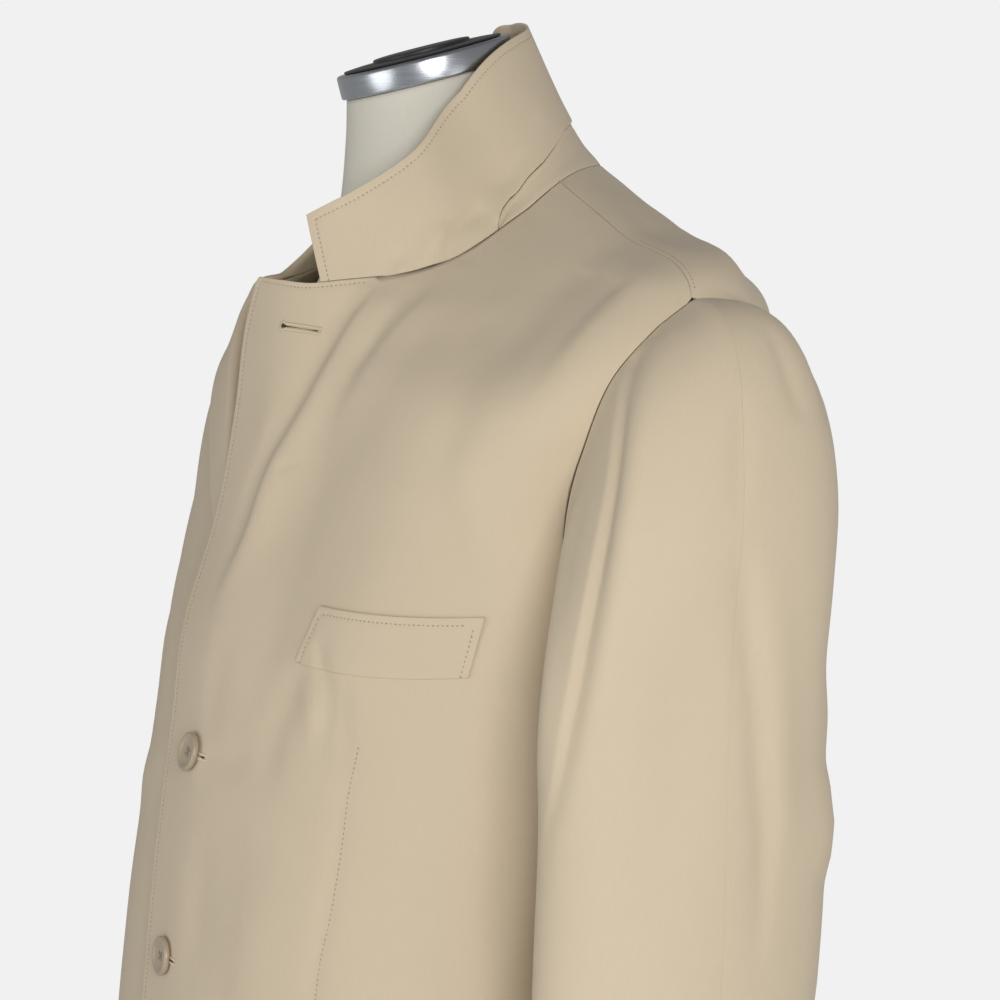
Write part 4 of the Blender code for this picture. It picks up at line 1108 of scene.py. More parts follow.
rightCreases = {
    "rollCrest": {
        "path": (
            (0.0760, -0.062), (0.0700, -0.0960), (0.0600, -0.1240), (0.0460, -0.1520), (0.0340, -0.1900)
        ),
        "width": 0.0085, "depth": (0.0010, 0.0022, 0.0024, 0.0014), "lean": -0.4, "fade": (0.1, 0.4)
    },
    "rollLower": {"path": ((0.0960, -0.0720), (0.1000, -0.1000), (0.0900, -0.1340), (0.0740, -0.1600)),
                  "width": 0.0100, "depth": (-0.0010, -0.0018, -0.0014, -0.0006)},
    "chestDrag": {
        "path": ((0.150, -0.190), (0.110, -0.240), (0.060, -0.280)), "width": 0.0110,
        "depth": (-0.0008, -0.0022, -0.0004)
    },
    "dartSink": {
        "path": ((0.136, -0.282), (0.134, -0.314), (0.133, -0.370), (0.130, -0.445)), "width": 0.0055,
        "depth": (-0.0004, -0.0012, -0.0006), "fade": (0.2, 0.4)
    },
    "tentHollow": {"path": ((0.1860, -0.0560), (0.1620, -0.0700), (0.1640, -0.0950), (0.1700, -0.1200)),
                   "width": 0.0160, "depth": (-0.0004, -0.0010, -0.0024, -0.0010), "fade": (0.2, 0.4)},
    "shoulderTent": {
        "path": ((0.2048, -0.0580), (0.2060, -0.0760), (0.2058, -0.0980), (0.1980, -0.1240)),
        "width": 0.0110, "depth": (0.0014, 0.0030, 0.0028, 0.0008), "lean": -0.25, "fade": (0.0, 0.4)
    },
    "armFold": {
        "path": ((0.178, -0.125), (0.172, -0.175), (0.177, -0.222)), "width": 0.0110,
        "depth": (-0.0008, -0.0022, -0.0010)
    },
    "hemSweep": {
        "path": ((0.080, -0.705), (0.100, -0.600), (0.092, -0.500)), "width": 0.0170,
        "depth": (-0.0012, -0.0024, -0.0005)
    },
    "sideSweep": {
        "path": ((0.155, -0.718), (0.166, -0.640), (0.158, -0.560)), "width": 0.0150,
        "depth": (0.0010, 0.0020, 0.0006)
    },
}
frontDart = {
    "path": (
        (0.1356, -0.2812), (0.1327, -0.3051), (0.1328, -0.3306), (0.1323, -0.3623), (0.1305, -0.3837),
        (0.1304, -0.4200), (0.1300, -0.4560)
    ),
    "aside": 0.0016
}


def signedLine(path, x, z, scale=(1.0, 1.0)):
    away, along, side = nearestOnLine(lineThrough(path, scale), x * scale[0], z * scale[1])
    # past its ends the line fades by growing away from nought
    beyond = np.maximum(np.maximum(0.03 - along, along - 0.97), 0) * 0.2
    return np.where(side < 0, -away - beyond, away + beyond)


frontCreases = {1: leftCreases, -1: rightCreases}
frontWaves = {"height": 0.00045, "seeds": {1: 11, -1: 29}}
frontLines = {
    side: creaseLines(creases, lambda a, b: lapelPoint(side, a, b))
    for side, creases in frontCreases.items()
}


def frontHeights(side, x, z, points, normals):
    creases = creaseHeights(frontCreases[side], frontLines[side], points, normals)
    # the turned leaf of the right front stays plain, and so does the seam at the neck
    past = pastRoll(x, z)
    if side < 0:
        creases = creases * (1 - smooth(past, -0.006, -0.001))
    creases = creases * (1 - 0.75 * smooth(z, -0.078, -0.060) * smooth(x, 0.14, 0.10))
    calm = smooth(np.abs(x - 0.004), 0.012, 0.045) * (1 - 0.8 * smooth(z, -0.075, -0.060))
    flatPlace = np.stack([x, z * 0.7, 0 * x], -1)
    waves = unevenness(flatPlace, frontWaves["height"], frontWaves["seeds"][side])
    return creases + waves * calm


backSheets, stitchLines = {}, {"front": [], "collar": [], "welt": [], "shoulder": []}
for side, name, node, flat, area in (
    (1, "frontLeftCloth", "front_left", (0.353, 0.880), 0.225),
    (-1, "frontRightCloth", "front_right", (0.353, 0.880), 0.223)
):
    sizes = frontSizes[side]
    points, viewX, viewZ, run = frontSheet(side, sizes)
    sheet = Sheet(points, -1.0)
    sheet.raised(frontHeights(side, viewX, viewZ, sheet.points, sheet.normals))
    sheet.groove(("last",), sizes["stitchIn"], sizes["stitchDepth"])
    leafTop = (viewX < lapelLine["top"][0] + 0.004) & (viewZ > -0.09)
    away = np.abs(sheet.fromEdge("top") - sizes["stitchIn"])
    sunk = leafTop * sizes["stitchDepth"] * np.exp(-((away / 0.001) ** 2))
    sheet.points = sheet.points - sheet.normals * sunk[..., None]
    made = sheet.solid(name, beigeCotton, mirror=side < 0)
    finishPiece(made, "beige_cloth", node)
    edgeLine = sheet.lineAt("last", sizes["stitchIn"], slice(2, -12), lift=threadLift)
    leafColumns = np.nonzero(viewX[-1] < lapelLine["top"][0] - 0.002)[0]
    topLine = sheet.lineAt("top", sizes["stitchIn"], slice(leafColumns[0], -12), lift=threadLift)
    for one in (edgeLine, topLine):
        stitchLines["front"].append(flipped(one) if side < 0 else one)
    print(name, len(made.data.polygons), "faces")

# the two back halves share one set of folds
backSizes = {"rows": 190, "across": 56}


def bodyAt(angle, z):
    # the body's surface at an angle and a height
    return bodyPoint(angle, ringWhere(lambda t: angle, z, angle.shape, 0.3, 24))


backCreases = {  # path of (angle, height)
    "shoulderDrag": {
        "path": ((119.4, -0.0160), (107.5, -0.0370), (103.0, -0.0500)), "width": 0.0080,
        "depth": (-0.0006, -0.0020, -0.0012)
    },
    "shoulderSoft": {
        "path": ((135.0, -0.0400), (122.8, -0.0580), (110.3, -0.0700), (106.0, -0.0660)), "width": 0.0095,
        "depth": (-0.0006, -0.0022, -0.0018, -0.0006)
    },
    "shoulderRoll": {
        "path": ((128.0, -0.0300), (116.0, -0.0470), (106.0, -0.0560)), "width": 0.0075,
        "depth": (0.0006, 0.0018, 0.0010)
    },
    "bladeFold": {
        "path": ((128, -0.120), (140, -0.200), (150, -0.300)), "width": 0.0130,
        "depth": (-0.0008, -0.0022, -0.0006)
    },
    "waistDrag": {
        "path": ((112, -0.330), (135, -0.385), (165, -0.400)), "width": 0.0120,
        "depth": (-0.0006, -0.0018, -0.0008)
    },
    "waistSecond": {
        "path": ((114, -0.385), (138, -0.425), (160, -0.430)), "width": 0.0100,
        "depth": (-0.0004, -0.0014, -0.0004)
    },
    "collarDrag": {
        "path": ((172, -0.030), (160, -0.060), (140, -0.075)), "width": 0.0080,
        "depth": (-0.0004, -0.0012, -0.0004)
    },
    "skirtFold": {
        "path": ((150, -0.470), (147, -0.580), (152, -0.700)), "width": 0.0170,
        "depth": (-0.0006, -0.0026, -0.0016)
    },
    "skirtRidge": {
        "path": ((125, -0.500), (122, -0.600), (124, -0.705)), "width": 0.0160,
        "depth": (0.0006, 0.0022, 0.0014)
    },
    "underArm": {
        "path": ((104, -0.270), (110, -0.330), (107, -0.400)), "width": 0.0085,
        "depth": (-0.0008, -0.0016, -0.0004)
    },
}
points, backAngle, run = backSheet(backSizes)
for name, node, mirror, seed in (
    ("backLeftCloth", "back_left", False, 41), ("backRightCloth", "back_right", True, 53)
):
    sheet = Sheet(points, 1.0)
    lean = 6.0 if mirror else 0.0  # the right half's folds lie a little elsewhere
    lines = creaseLines(backCreases, lambda a, z: bodyAt(a - lean * smooth(z, -0.05, -0.15), z))
    heights = creaseHeights(backCreases, lines, sheet.points, sheet.normals)
    calm = smooth(180 - backAngle, 1, 8) * smooth(sheet.nearestEdge(), 0.002, 0.02)
    sheet.raised(heights * calm + unevenness(points, 0.0005, seed) * calm)
    made = sheet.solid(name, beigeCotton, mirror=mirror)
    backSheets[-1 if mirror else 1] = sheet
    finishPiece(made, "beige_cloth", node)
    print(name, len(made.data.polygons), "faces")

# the sleeves hang from the armholes
sleeveSections = {  # height, centre x, centre y, half width in x, half depth in y
    "bicep": (-0.285, 0.2490, 0.0010, 0.0400, 0.0710),
    "upperArm": (-0.380, 0.2510, -0.0030, 0.0380, 0.0710),
    "elbow": (-0.470, 0.2535, -0.0130, 0.0360, 0.0680),
    "forearm": (-0.575, 0.2560, -0.0300, 0.0330, 0.0640),
    "cuff": (-0.690, 0.2580, -0.0540, 0.0300, 0.0600),
}
# share of the way round the armhole (0 at the tip, through the front): direction off the seam, reach
sleeveHead = {
    0.000: (1.00, 0.00, 0.02, 0.105), 0.125: (1.00, -0.25, -0.10, 0.105), 0.250: (0.90, -0.55, -0.30, 0.085),
    0.375: (0.80, -0.30, -0.75, 0.050), 0.500: (0.35, 0.00, -1.00, 0.030), 0.625: (0.80, 0.30, -0.75, 0.050),
    0.750: (0.90, 0.55, -0.27, 0.072), 0.875: (1.00, 0.40, 0.10, 0.104), 1.000: (1.00, 0.00, 0.02, 0.105),
}
sleeveSizes = {
    "around": 150, "head": 62, "arm": 96, "start": 0.44, "tension": 0.14, "roundLength": 0.36,
    "downLength": 0.11, "seam": 0.0005
}
sleeveCreases = {  # path of (share round, down)
    "stepValley": {
        "path": (
            (1.046, 0.003), (1.095, 0.158), (1.131, 0.332), (1.151, 0.476), (1.164, 0.591), (1.173, 0.686),
            (1.198, 0.903), (1.235, 1.21), (1.268, 1.46)
        ),
        "width": 0.0044, "depth": (-0.0012, -0.0030, -0.0040, -0.0038, -0.0030, -0.0016), "lean": 0.55,
        "fade": (0.04, 0.35)
    },
    "stepRidge": {
        "path": (
            (1.020, 0.03), (1.062, 0.170), (1.098, 0.335), (1.120, 0.476), (1.134, 0.600), (1.146, 0.700),
            (1.172, 0.930), (1.205, 1.25), (1.235, 1.55)
        ),
        "width": 0.0105, "depth": (0.0008, 0.0024, 0.0032, 0.0030, 0.0022, 0.0010), "fade": (0.06, 0.35)
    },
    "besideHole": {
        "path": (
            (1.128, 0.030), (1.160, 0.100), (1.205, 0.200), (1.240, 0.420), (1.255, 0.800), (1.285, 1.20)
        ),
        "width": 0.0080, "depth": (0.0008, 0.0018, 0.0018, 0.0010, 0.0004)
    },
    "faintOne": {
        "path": ((0.9996, 0.320), (0.9995, 0.421), (1.006, 0.566)), "width": 0.0052,
        "depth": (-0.0008, -0.0014, -0.0006)
    },
    "longCrease": {
        "path": (
            (1.007, 0.597), (0.989, 0.668), (0.980, 0.750), (0.960, 0.917), (0.9485, 1.22), (0.950, 1.55),
            (0.955, 2.10)
        ),
        "width": 0.0062, "depth": (-0.0012, -0.0026, -0.0028, -0.0022, -0.0010), "lean": -0.25,
        "fade": (0.08, 0.35)
    },
    "longRidge": {"path": ((0.975, 0.58), (0.955, 0.72), (0.934, 0.93), (0.920, 1.25), (0.918, 1.60)),
                  "width": 0.0100, "depth": (0.0006, 0.0018, 0.0020, 0.0008)},
    "frontPlane": {
        "path": ((1.040, 0.60), (1.052, 0.90), (1.075, 1.40), (1.100, 1.90)), "width": 0.0180,
        "depth": (-0.0006, -0.0022, -0.0024, -0.0008)
    },
    "headDrag": {
        "path": ((0.960, 0.160), (0.9565, 0.242), (0.951, 0.304), (0.938, 0.420)), "width": 0.0056,
        "depth": (-0.0008, -0.0018, -0.0010)
    },
    "headDragTwo": {
        "path": ((0.915, 0.10), (0.900, 0.22), (0.890, 0.40)), "width": 0.0060,
        "depth": (-0.0006, -0.0014, -0.0004)
    },
    "elbowOne": {
        "path": ((0.700, 2.60), (0.800, 2.85), (0.900, 2.95)), "width": 0.0090,
        "depth": (-0.0008, -0.0024, -0.0006)
    },
    "elbowTwo": {
        "path": ((0.690, 3.10), (0.780, 3.25), (0.870, 3.28)), "width": 0.0080,
        "depth": (-0.0008, -0.0020, -0.0004)
    },
    "innerElbow": {
        "path": ((0.150, 2.70), (0.240, 3.00), (0.330, 3.05)), "width": 0.0080,
        "depth": (-0.0008, -0.0022, -0.0006)
    },
    "forearmSweep": {
        "path": ((0.060, 3.10), (0.040, 3.70), (0.060, 4.50)), "width": 0.0110,
        "depth": (-0.0006, -0.0018, -0.0008)
    },
    "cuffDrag": {
        "path": ((0.300, 4.10), (0.220, 4.40), (0.150, 4.80)), "width": 0.0080,
        "depth": (-0.0006, -0.0014, -0.0006)
    },
    "hindHollow": {
        "path": ((0.800, 0.30), (0.790, 0.50), (0.790, 0.72), (0.795, 0.90)), "width": 0.0200,
        "depth": (-0.0018, -0.0050, -0.0048, -0.0010)
    },
    "hindRidge": {
        "path": ((0.800, 0.95), (0.800, 1.25), (0.800, 1.60)), "width": 0.0220,
        "depth": (0.0006, 0.0044, 0.0014)
    },
    "hindLow": {
        "path": ((0.800, 2.00), (0.805, 2.35), (0.810, 2.75), (0.820, 3.20)), "width": 0.0240,
        "depth": (-0.0004, -0.0024, -0.0048, -0.0024)
    },
}
# gathers in the head: share round, how far down they run, depth
gathers = (
    (0.028, 0.10, -0.0007), (0.009, 0.13, -0.0011), (0.985, 0.18, -0.0011), (0.970, 0.17, -0.0012),
    (0.953, 0.12, -0.0009), (0.934, 0.15, -0.0010), (0.912, 0.10, -0.0007), (0.052, 0.12, -0.0007),
    (0.078, 0.09, -0.0005), (0.886, 0.12, -0.0006), (0.860, 0.08, -0.0004), (0.108, 0.08, -0.0004),
)
gatherCreases = {
    number: {
        "path": ((at, 0.0), (at + 0.004, depth * 0.5), (at + 0.002, depth)),
        "width": 0.0026, "depth": (height, height * 0.6), "fade": (0.0, 0.8),
    }
    for number, (at, depth, height) in enumerate(gathers)
}
armSeams = {
    "inner": ((0.400, 0.10), (0.405, 1.0), (0.395, 3.0), (0.390, 4.98)),
    "hind": ((0.690, 0.08), (0.700, 1.0), (0.715, 3.0), (0.705, 4.98))
}


def armholePlace(share):
    share = np.asarray(share, float) % 1.0
    front = catmull(armholeFront, (1 - np.clip(share * 2, 0, 1)) * (len(armholeFront) - 1))
    back = catmull(armholeBack, np.clip(share * 2 - 1, 0, 1) * (len(armholeBack) - 1))
    return np.where((share <= 0.5)[..., None], front, back)


def sleevePoint(share, down):
    share, down = np.broadcast_arrays(np.asarray(share, float), np.asarray(down, float))
    place = armholePlace(share)
    head = catmull(np.array(list(sleeveHead.values())), (share % 1.0) * 8)
    direction = unit(head[..., :3])
    start = bodyPoint(place[..., 0], place[..., 1]) + direction * sleeveSizes["seam"]
    turn = 2 * math.pi * (share % 1.0)
    section = catmull(np.array(list(sleeveSections.values())), np.maximum(down - 1, 0))
    z, cx, cy, hx, hy = np.moveaxis(section, -1, 0)
    ring = np.stack([cx + hx * np.cos(turn), cy - hy * np.sin(turn), z], -1)
    f = np.clip(down, 0, 1)[..., None]
    height = start[..., 2:] - ring[..., 2:]
    drop = np.array([0.0, 0.0, -1.0]) * (height * 0.9 + sleeveSizes["tension"] * 0.2)
    return np.where(f < 1, hermite(f, start, ring, direction * head[..., 3:] * 2.2, drop), ring)


even = np.linspace(sleeveSizes["start"], sleeveSizes["start"] + 1, sleeveSizes["around"], endpoint=False)
share = (even - 0.055 * np.sin(2 * math.pi * even))[None, :]
headRun = spread(0, 1, sleeveSizes["head"], 1 / 0.13, lowEdge=True)
armRun = spread(1, len(sleeveSections), sleeveSizes["arm"], 1 / 0.105, highEdge=True)
down = np.union1d(headRun, armRun)[:, None]
share, down = np.broadcast_arrays(share, down)
sleevePoints = sleevePoint(share, down)
sleeveScale = (sleeveSizes["roundLength"], sleeveSizes["downLength"])
for name, node, mirror, seed in (
    ("sleeveLeftCloth", "sleeve_left", False, 61), ("sleeveRightCloth", "sleeve_right", True, 73)
):
    sheet = Sheet(sleevePoints, 1.0, around=True)
    shift = 0.012 if mirror else 0.0
    lines = creaseLines(sleeveCreases, lambda a, b: sleevePoint(a - shift, b * (1 + 2 * shift)))
    creases = creaseHeights(sleeveCreases, lines, sheet.points, sheet.normals)
    gathered = creaseHeights(
        gatherCreases, creaseLines(gatherCreases, sleevePoint), sheet.points, sheet.normals
    )
    creases = creases + gathered * smooth(down, 0.0, 0.02)
    waves = unevenness(
        sleevePoints, 0.0006, seed, 0.07
    ) * smooth(down, 0.05, 0.4) * (1 - smooth(down, 4.8, 5.0))
    sheet.raised(creases + waves)
    # the sleeve seams' signed distance, along which the cloth sinks a groove and paints its shade
    line = None
    for path in armSeams.values():
        one = signedLine(path, share % 1.0, down, sleeveScale)
        line = one if line is None else np.where(np.abs(one) < np.abs(line), one, line)
    made = sheet.solid(name, beigeCotton, mirror=mirror, line=line)
    finishPiece(made, "beige_cloth", node)
    print(name, len(made.data.polygons), "faces")

# the collar leaf and its stand are parts of one surface
# angle round the neck: seam to crest (x, y, z), seam to free edge (x, y, z), the stand's share of the width
collarStations = {
    26.3: (-0.0052, -0.0018, 0.0165, -0.0110, -0.0032, 0.0333),
    42.4: (-0.0070, -0.0042, 0.0186, -0.0150, -0.0105, 0.0401),
    63.7: (-0.0080, -0.0040, 0.0201, -0.0210, -0.0100, 0.0532),
    82.0: (-0.0105, -0.0060, 0.0168, -0.0305, -0.0190, 0.0582),
    103.0: (-0.0120, -0.0080, 0.0171, -0.0330, -0.0265, 0.0604),
    135.0: (-0.0110, -0.0110, 0.0222, -0.0300, -0.0270, 0.0692),
    180.0: (0.0000, -0.0150, 0.0250, 0.0000, -0.0390, 0.0745),
    206.0: (0.0080, -0.0130, 0.0260, 0.0160, -0.0330, 0.0700),
    229.0: (0.0125, -0.0090, 0.0280, -0.0060, 0.0130, 0.0400),
    250.0: (0.0130, -0.0050, 0.0290, -0.0150, 0.0090, 0.0010),
    273.1: (0.0120, 0.0000, 0.0250, -0.0200, 0.0040, -0.0020),
    296.3: (0.0070, 0.0010, 0.0150, -0.0300, 0.0080, -0.0070),
    312.4: (-0.0040, 0.0010, 0.0032, -0.0340, 0.0110, -0.0035),
    333.7: (-0.0130, 0.0040, -0.0004, -0.0250, 0.0110, 0.0000),
}
# the stand's top line: angle, share of the collar's width
standLine = (
    (82.3, 0.015), (82.6, 0.045), (83.6, 0.100), (84.6, 0.165), (85.9, 0.226), (88.4, 0.285), (95.9, 0.342),
    (105.3, 0.352), (114.7, 0.398),
    (127.1, 0.462), (150.0, 0.495), (180.0, 0.500), (229.0, 0.500), (250.0, 0.420), (262.0, 0.300),
    (271.0, 0.200), (274.2, 0.140), (275.0, 0.080), (275.3, 0.020),
)
standShape = {"in": 0.0012, "leafOut": 0.0006, "gap": 0.0020, "stitchIn": 0.0030, "stitchDepth": 0.00022}
collarAngles, collarTable = np.array(list(collarStations)), np.array(list(collarStations.values()))
collarSizes = {"seamStep": 0.00025, "stitchIn": 0.0046, "stitchDepth": 0.00020}


def trueAngle(angle):
    # the collar's stations go by the true way round the neck
    s, c = np.sin(np.radians(angle)), np.cos(np.radians(angle))
    power = np.where(c > 0, 2 / bodyRings["neckSeam"][6], 1.0)
    return np.degrees(np.arctan2(np.sign(s) * np.abs(s) ** power, np.sign(c) * np.abs(c) ** power)) % 360


def neckSeamLine(angle):
    # the panels' edge that the collar is sewn to, from the left notch round the back
    side = np.where(angle < 180, 1, -1)
    frontAngle = np.where(angle < 180, angle, 360 - angle)
    neck, step = neckRing(frontAngle), collarSizes["seamStep"]
    plain = bodyPoint(frontAngle, neck)
    onward = unit(plain - bodyPoint(frontAngle, neck - 0.05))
    seam = plain + onward * step
    for one in (1, -1):
        panel = frontPoint(one, frontAngle, neck)
        x = panel[..., 0]
        leaf = lapelPoint(one, x, gorgeHeight(np.minimum(x, gorge[-1][0])) + step)
        mix = smooth(x, lapelLine["top"][0] - 0.001, lapelLine["top"][0] + 0.006)[..., None]
        panel = leaf * (1 - mix) + (panel + onward * step) * mix
        front = (side == one) & (frontAngle < shoulderSeam[-1][0])
        seam = np.where(front[..., None], panel, seam)
    return seam * np.stack([side, np.ones_like(side), np.ones_like(side)], -1)


def collarPoint(angle, across):
    angle, across = np.broadcast_arrays(np.asarray(angle, float), np.asarray(across, float))
    values = readAt(collarAngles, collarTable, trueAngle(angle))
    seam = neckSeamLine(angle)
    crest, edge = seam + values[..., 0:3], seam + values[..., 3:6]
    f = (np.clip(across, -0.2, 1.2) * 2)[..., None]
    low = f < 1
    g = np.where(low, f, f - 1)
    slopeA = np.where(low, crest - seam, (edge - seam) / 2)
    slopeB = np.where(low, (edge - seam) / 2, edge - crest)
    return hermite(g, np.where(low, seam, crest), np.where(low, crest, edge), slopeA, slopeB)


def standShare(angle):
    places, shares = np.array(standLine).T
    return np.interp(angle, places, shares, left=0.0, right=0.0)


firstStand, lastStand = standLine[0][0], standLine[-1][0]
collarEnds = (24.0, 336.0)
angles = np.unique(np.concatenate([
    spread(collarEnds[0], collarEnds[1], 190, 1 / 0.0015, lowEdge=True, highEdge=True),
    np.linspace(firstStand - 0.6, firstStand + 6.0, 40), np.linspace(lastStand - 4.0, lastStand + 0.6, 24),
]))
across = spread(0, 1, 40, 1 / 0.050, lowEdge=True, highEdge=True)[:, None]
share = standShare(angles)
low = share + standShape["gap"] * smooth(share, 0, 0.02)
gridAngles, gridAcross = np.broadcast_arrays(angles[None, :], low + (1 - low) * across)
collarSheet = Sheet(collarPoint(gridAngles, gridAcross), 1.0)
collarCreases = {  # path of (angle, share of the width)
    "standPull": {
        "path": ((83.5, 0.47), (78.6, 0.406), (72.5, 0.324), (68.7, 0.159), (66.4, 0.016)), "width": 0.0048,
        "depth": (-0.0010, -0.0022, -0.0020, -0.0012), "lean": 0.2, "fade": (0.3, 0.0)
    },
    "beforePull": {"path": ((72.0, 0.44), (65.5, 0.30), (61.5, 0.14), (60.0, 0.02)), "width": 0.0055,
                   "depth": (0.0004, 0.0014, 0.0014, 0.0008), "fade": (0.35, 0.0)},
    "nearSeam": {
        "path": ((56.0, 0.34), (48.8, 0.139), (45.7, 0.005)), "width": 0.0046,
        "depth": (-0.0004, -0.0013, -0.0012), "fade": (0.4, 0.0)
    },
    "highFold": {
        "path": ((81.6, 0.405), (88.5, 0.479), (99.8, 0.545), (121.4, 0.681)), "width": 0.0060,
        "depth": (-0.0008, -0.0017, -0.0010, -0.0004)
    },
    "leafSwell": {
        "path": ((40.0, 0.55), (70.0, 0.66), (100.0, 0.74)), "width": 0.0130,
        "depth": (0.0004, 0.0011, 0.0006)
    },
    "farPull": {
        "path": ((262.0, 0.62), (285.0, 0.50), (305.0, 0.40)), "width": 0.0060,
        "depth": (-0.0003, -0.0010, -0.0004)
    },
}
overStand = smooth(share, 0, 0.12) * np.exp(-(((gridAcross - low) / 0.16) ** 2)) * (
    1 - 0.8 * smooth(gridAngles, 100, 122)
)
creases = creaseHeights(
    collarCreases, creaseLines(collarCreases, collarPoint), collarSheet.points, collarSheet.normals
)
waves = unevenness(collarSheet.points, 0.0003, 83, 0.045) * smooth(collarSheet.nearestEdge(), 0.0, 0.012)
collarSheet.raised(creases + overStand * standShape["leafOut"] + waves)
collarSheet.groove(("top", "first", "last"), collarSizes["stitchIn"], collarSizes["stitchDepth"])
made = collarSheet.solid("collarCloth", beigeCotton)
finishPiece(made, "beige_cloth", "collar")
for edge, keep in (("top", slice(12, -12)), ("first", slice(3, -12)), ("last", slice(3, -12))):
    stitchLines["collar"].append(collarSheet.lineAt(edge, collarSizes["stitchIn"], keep, lift=threadLift))
standAngles = np.unique(np.concatenate([
    spread(firstStand + 0.25, lastStand - 0.25, 140), np.linspace(firstStand + 0.25, firstStand + 5.0, 24),
    np.linspace(lastStand - 4.0, lastStand - 0.25, 20),
]))
standAcross = spread(0, 1, 14, 1 / 0.030, lowEdge=True, highEdge=True)[:, None]
standSheet = Sheet(collarPoint(standAngles[None, :], standShare(standAngles) * standAcross), 1.0)
inward = np.minimum(
    standShape["in"], 0.4 * standShare(standAngles) * 0.05 + 0.0008
) * smooth(standAcross, 0.0, 0.6)
standSheet.raised(-inward)
standSheet.groove(("top",), standShape["stitchIn"], standShape["stitchDepth"])
made = standSheet.solid("collarStandCloth", beigeCotton)
finishPiece(made, "beige_cloth", "collar_stand")
print("collar made")

# the breast welt lies on the left front
welt = {
    "corners": ((0.1045, -0.2168), (0.1807, -0.2167), (0.1763, -0.2453), (0.0959, -0.2437)),
    "lay": cloth["wall"] + 0.7 * cloth["gap"], "sag": (0.0016, 0.0028), "stitchIn": 0.0040,
    "stitchDepth": 0.00020,
}
u = spread(0, 1, 40, 1 / 0.075, lowEdge=True, highEdge=True)[None, :]
v = spread(0, 1, 18, 1 / 0.027, lowEdge=True, highEdge=True)[:, None]
u, v = np.broadcast_arrays(u, v)
a, b, c, d = (np.array(corner) for corner in welt["corners"])
x, z = (
    (a[k] * (1 - u) + b[k] * u) * (1 - v) + (d[k] * (1 - u) + c[k] * u) * v for k in (0, 1)
)
z = z - (welt["sag"][0] * (1 - v) + welt["sag"][1] * v) * 4 * u * (1 - u)
under, normals = frontAt(1, x, z), frontNormalAt(1, x, z)
lift = welt["lay"] - 0.0005 * smooth(v, 0, 0.5) + frontHeights(1, x, z, under, normals)
weltSheet = Sheet(under + normals * lift[..., None], 1.0)
if weltSheet.normals[..., 1].mean() > 0:
    weltSheet.sign, weltSheet.normals = -1.0, -weltSheet.normals
weltSheet.groove(("bottom", "first", "last"), welt["stitchIn"], welt["stitchDepth"])
made = weltSheet.solid("breastWeltCloth", beigeCotton)
finishPiece(made, "beige_cloth", "breast_welt")
for edge, keep in (("bottom", slice(12, -12)), ("first", slice(12, -3)), ("last", slice(12, -3))):
    stitchLines["welt"].append(weltSheet.lineAt(edge, welt["stitchIn"], keep, lift=threadLift))
print("welt made")

# the dart's pick stitches, and those at the outer end of the shoulder seam (in row numbers)
shoulderStitches = {"from": 20.15, "to": 21.9, "in": 0.0024}
for side in (1, -1):
    path = lineThrough(frontDart["path"], steps=10) + (frontDart["aside"], 0)
    under, up = frontAt(side, *path.T), frontNormalAt(side, *path.T)
    line = (under + up * (frontHeights(side, *path.T, under, up) + 0.00005)[:, None], up)
    stitchLines["front"].append(line if side > 0 else flipped(line))
    nearTip = np.nonzero((run > shoulderStitches["from"]) & (run < shoulderStitches["to"]))[0]
    line = backSheets[side].lineAt(
        "first", shoulderStitches["in"], slice(nearTip[0], nearTip[-1]), lift=threadLift
    )
    stitchLines["shoulder"].append(line if side > 0 else flipped(line))

for name, lines in stitchLines.items():
    made = finishPiece(stitchRow(name + "Stitches", lines), "beige_cloth")
    print(made.name, len(made.data.polygons), "faces")


# buttonholes and buttons follow the finished left front
def onFront(x, z, lift=0.0):
    x, z = np.asarray(x, float), np.asarray(z, float)
    points, up = frontAt(1, x, z), frontNormalAt(1, x, z)
    return points + up * (frontHeights(1, x, z, points, up) + lift)[..., None], up


buttonholes = {  # ends in the front view; half width of the slit and length of its purl stitches
    "first": {"from": (0.0200, -0.2962), "to": (0.0345, -0.2975), "half": 0.00040, "purl": 0.0016},
    "second": {"from": (0.0105, -0.3998), "to": (0.0250, -0.4008), "half": 0.00040, "purl": 0.0016},
    "third": {"from": (0.0125, -0.5033), "to": (0.0270, -0.5040), "half": 0.00040, "purl": 0.0016},
    "lapel": {
        "from": (0.0307, -0.0855), "to": (0.0512, -0.0866), "half": 0.00030, "purl": 0.0019, "eye": 0.0014
    },
}
purlThread = plainMaterial("purlThread", (0.660, 0.560, 0.410), 0.55, amount=0.05, broad=300.0)


def buttonhole(name, shape):
    start, end = np.array(shape["from"]), np.array(shape["to"])
    run = unit(end - start)
    side = np.array([-run[1], run[0]])
    half, purl = shape["half"], shape["purl"]
    out = half + purl / 2
    steps = np.linspace(0, 1, 30)[:, None]
    rows = [start + (end + run * purl - start) * steps + side * way * out for way in (1, -1)]
    rows.append(end + run * purl / 2 + side * np.linspace(-1, 1, 10)[:, None] * half)
    turn = np.linspace(0.5 * math.pi, 1.5 * math.pi, 31)
    reach = shape.get("eye", 0.0) * 0.6
    rows.append(start + (out + reach) * (run * np.cos(turn)[:, None] + side * np.sin(turn)[:, None]))
    made = stitchRow(name + "Purl", [onLapel(row, 0.00022) for row in rows], purlThread,
                     Pitch=0.00042, Length=purl, Width=0.00046, Height=0.00062, Turn=math.pi / 2, Uneven=0.10)
    finishPiece(made, "beige_cloth")
    # the slit and the eye are dark pieces of painted shade
    holeShadePatch(
        name + "SlitShade",
        np.array([start + side * half, end + side * half, end - side * half, start - side * half])
    )
    if "eye" in shape:
        turn = np.linspace(0, 2 * math.pi, 25)[:-1]
        holeShadePatch(name + "EyeShade", start + shape["eye"] * np.stack([np.cos(turn), np.sin(turn)], -1), 0.00042)


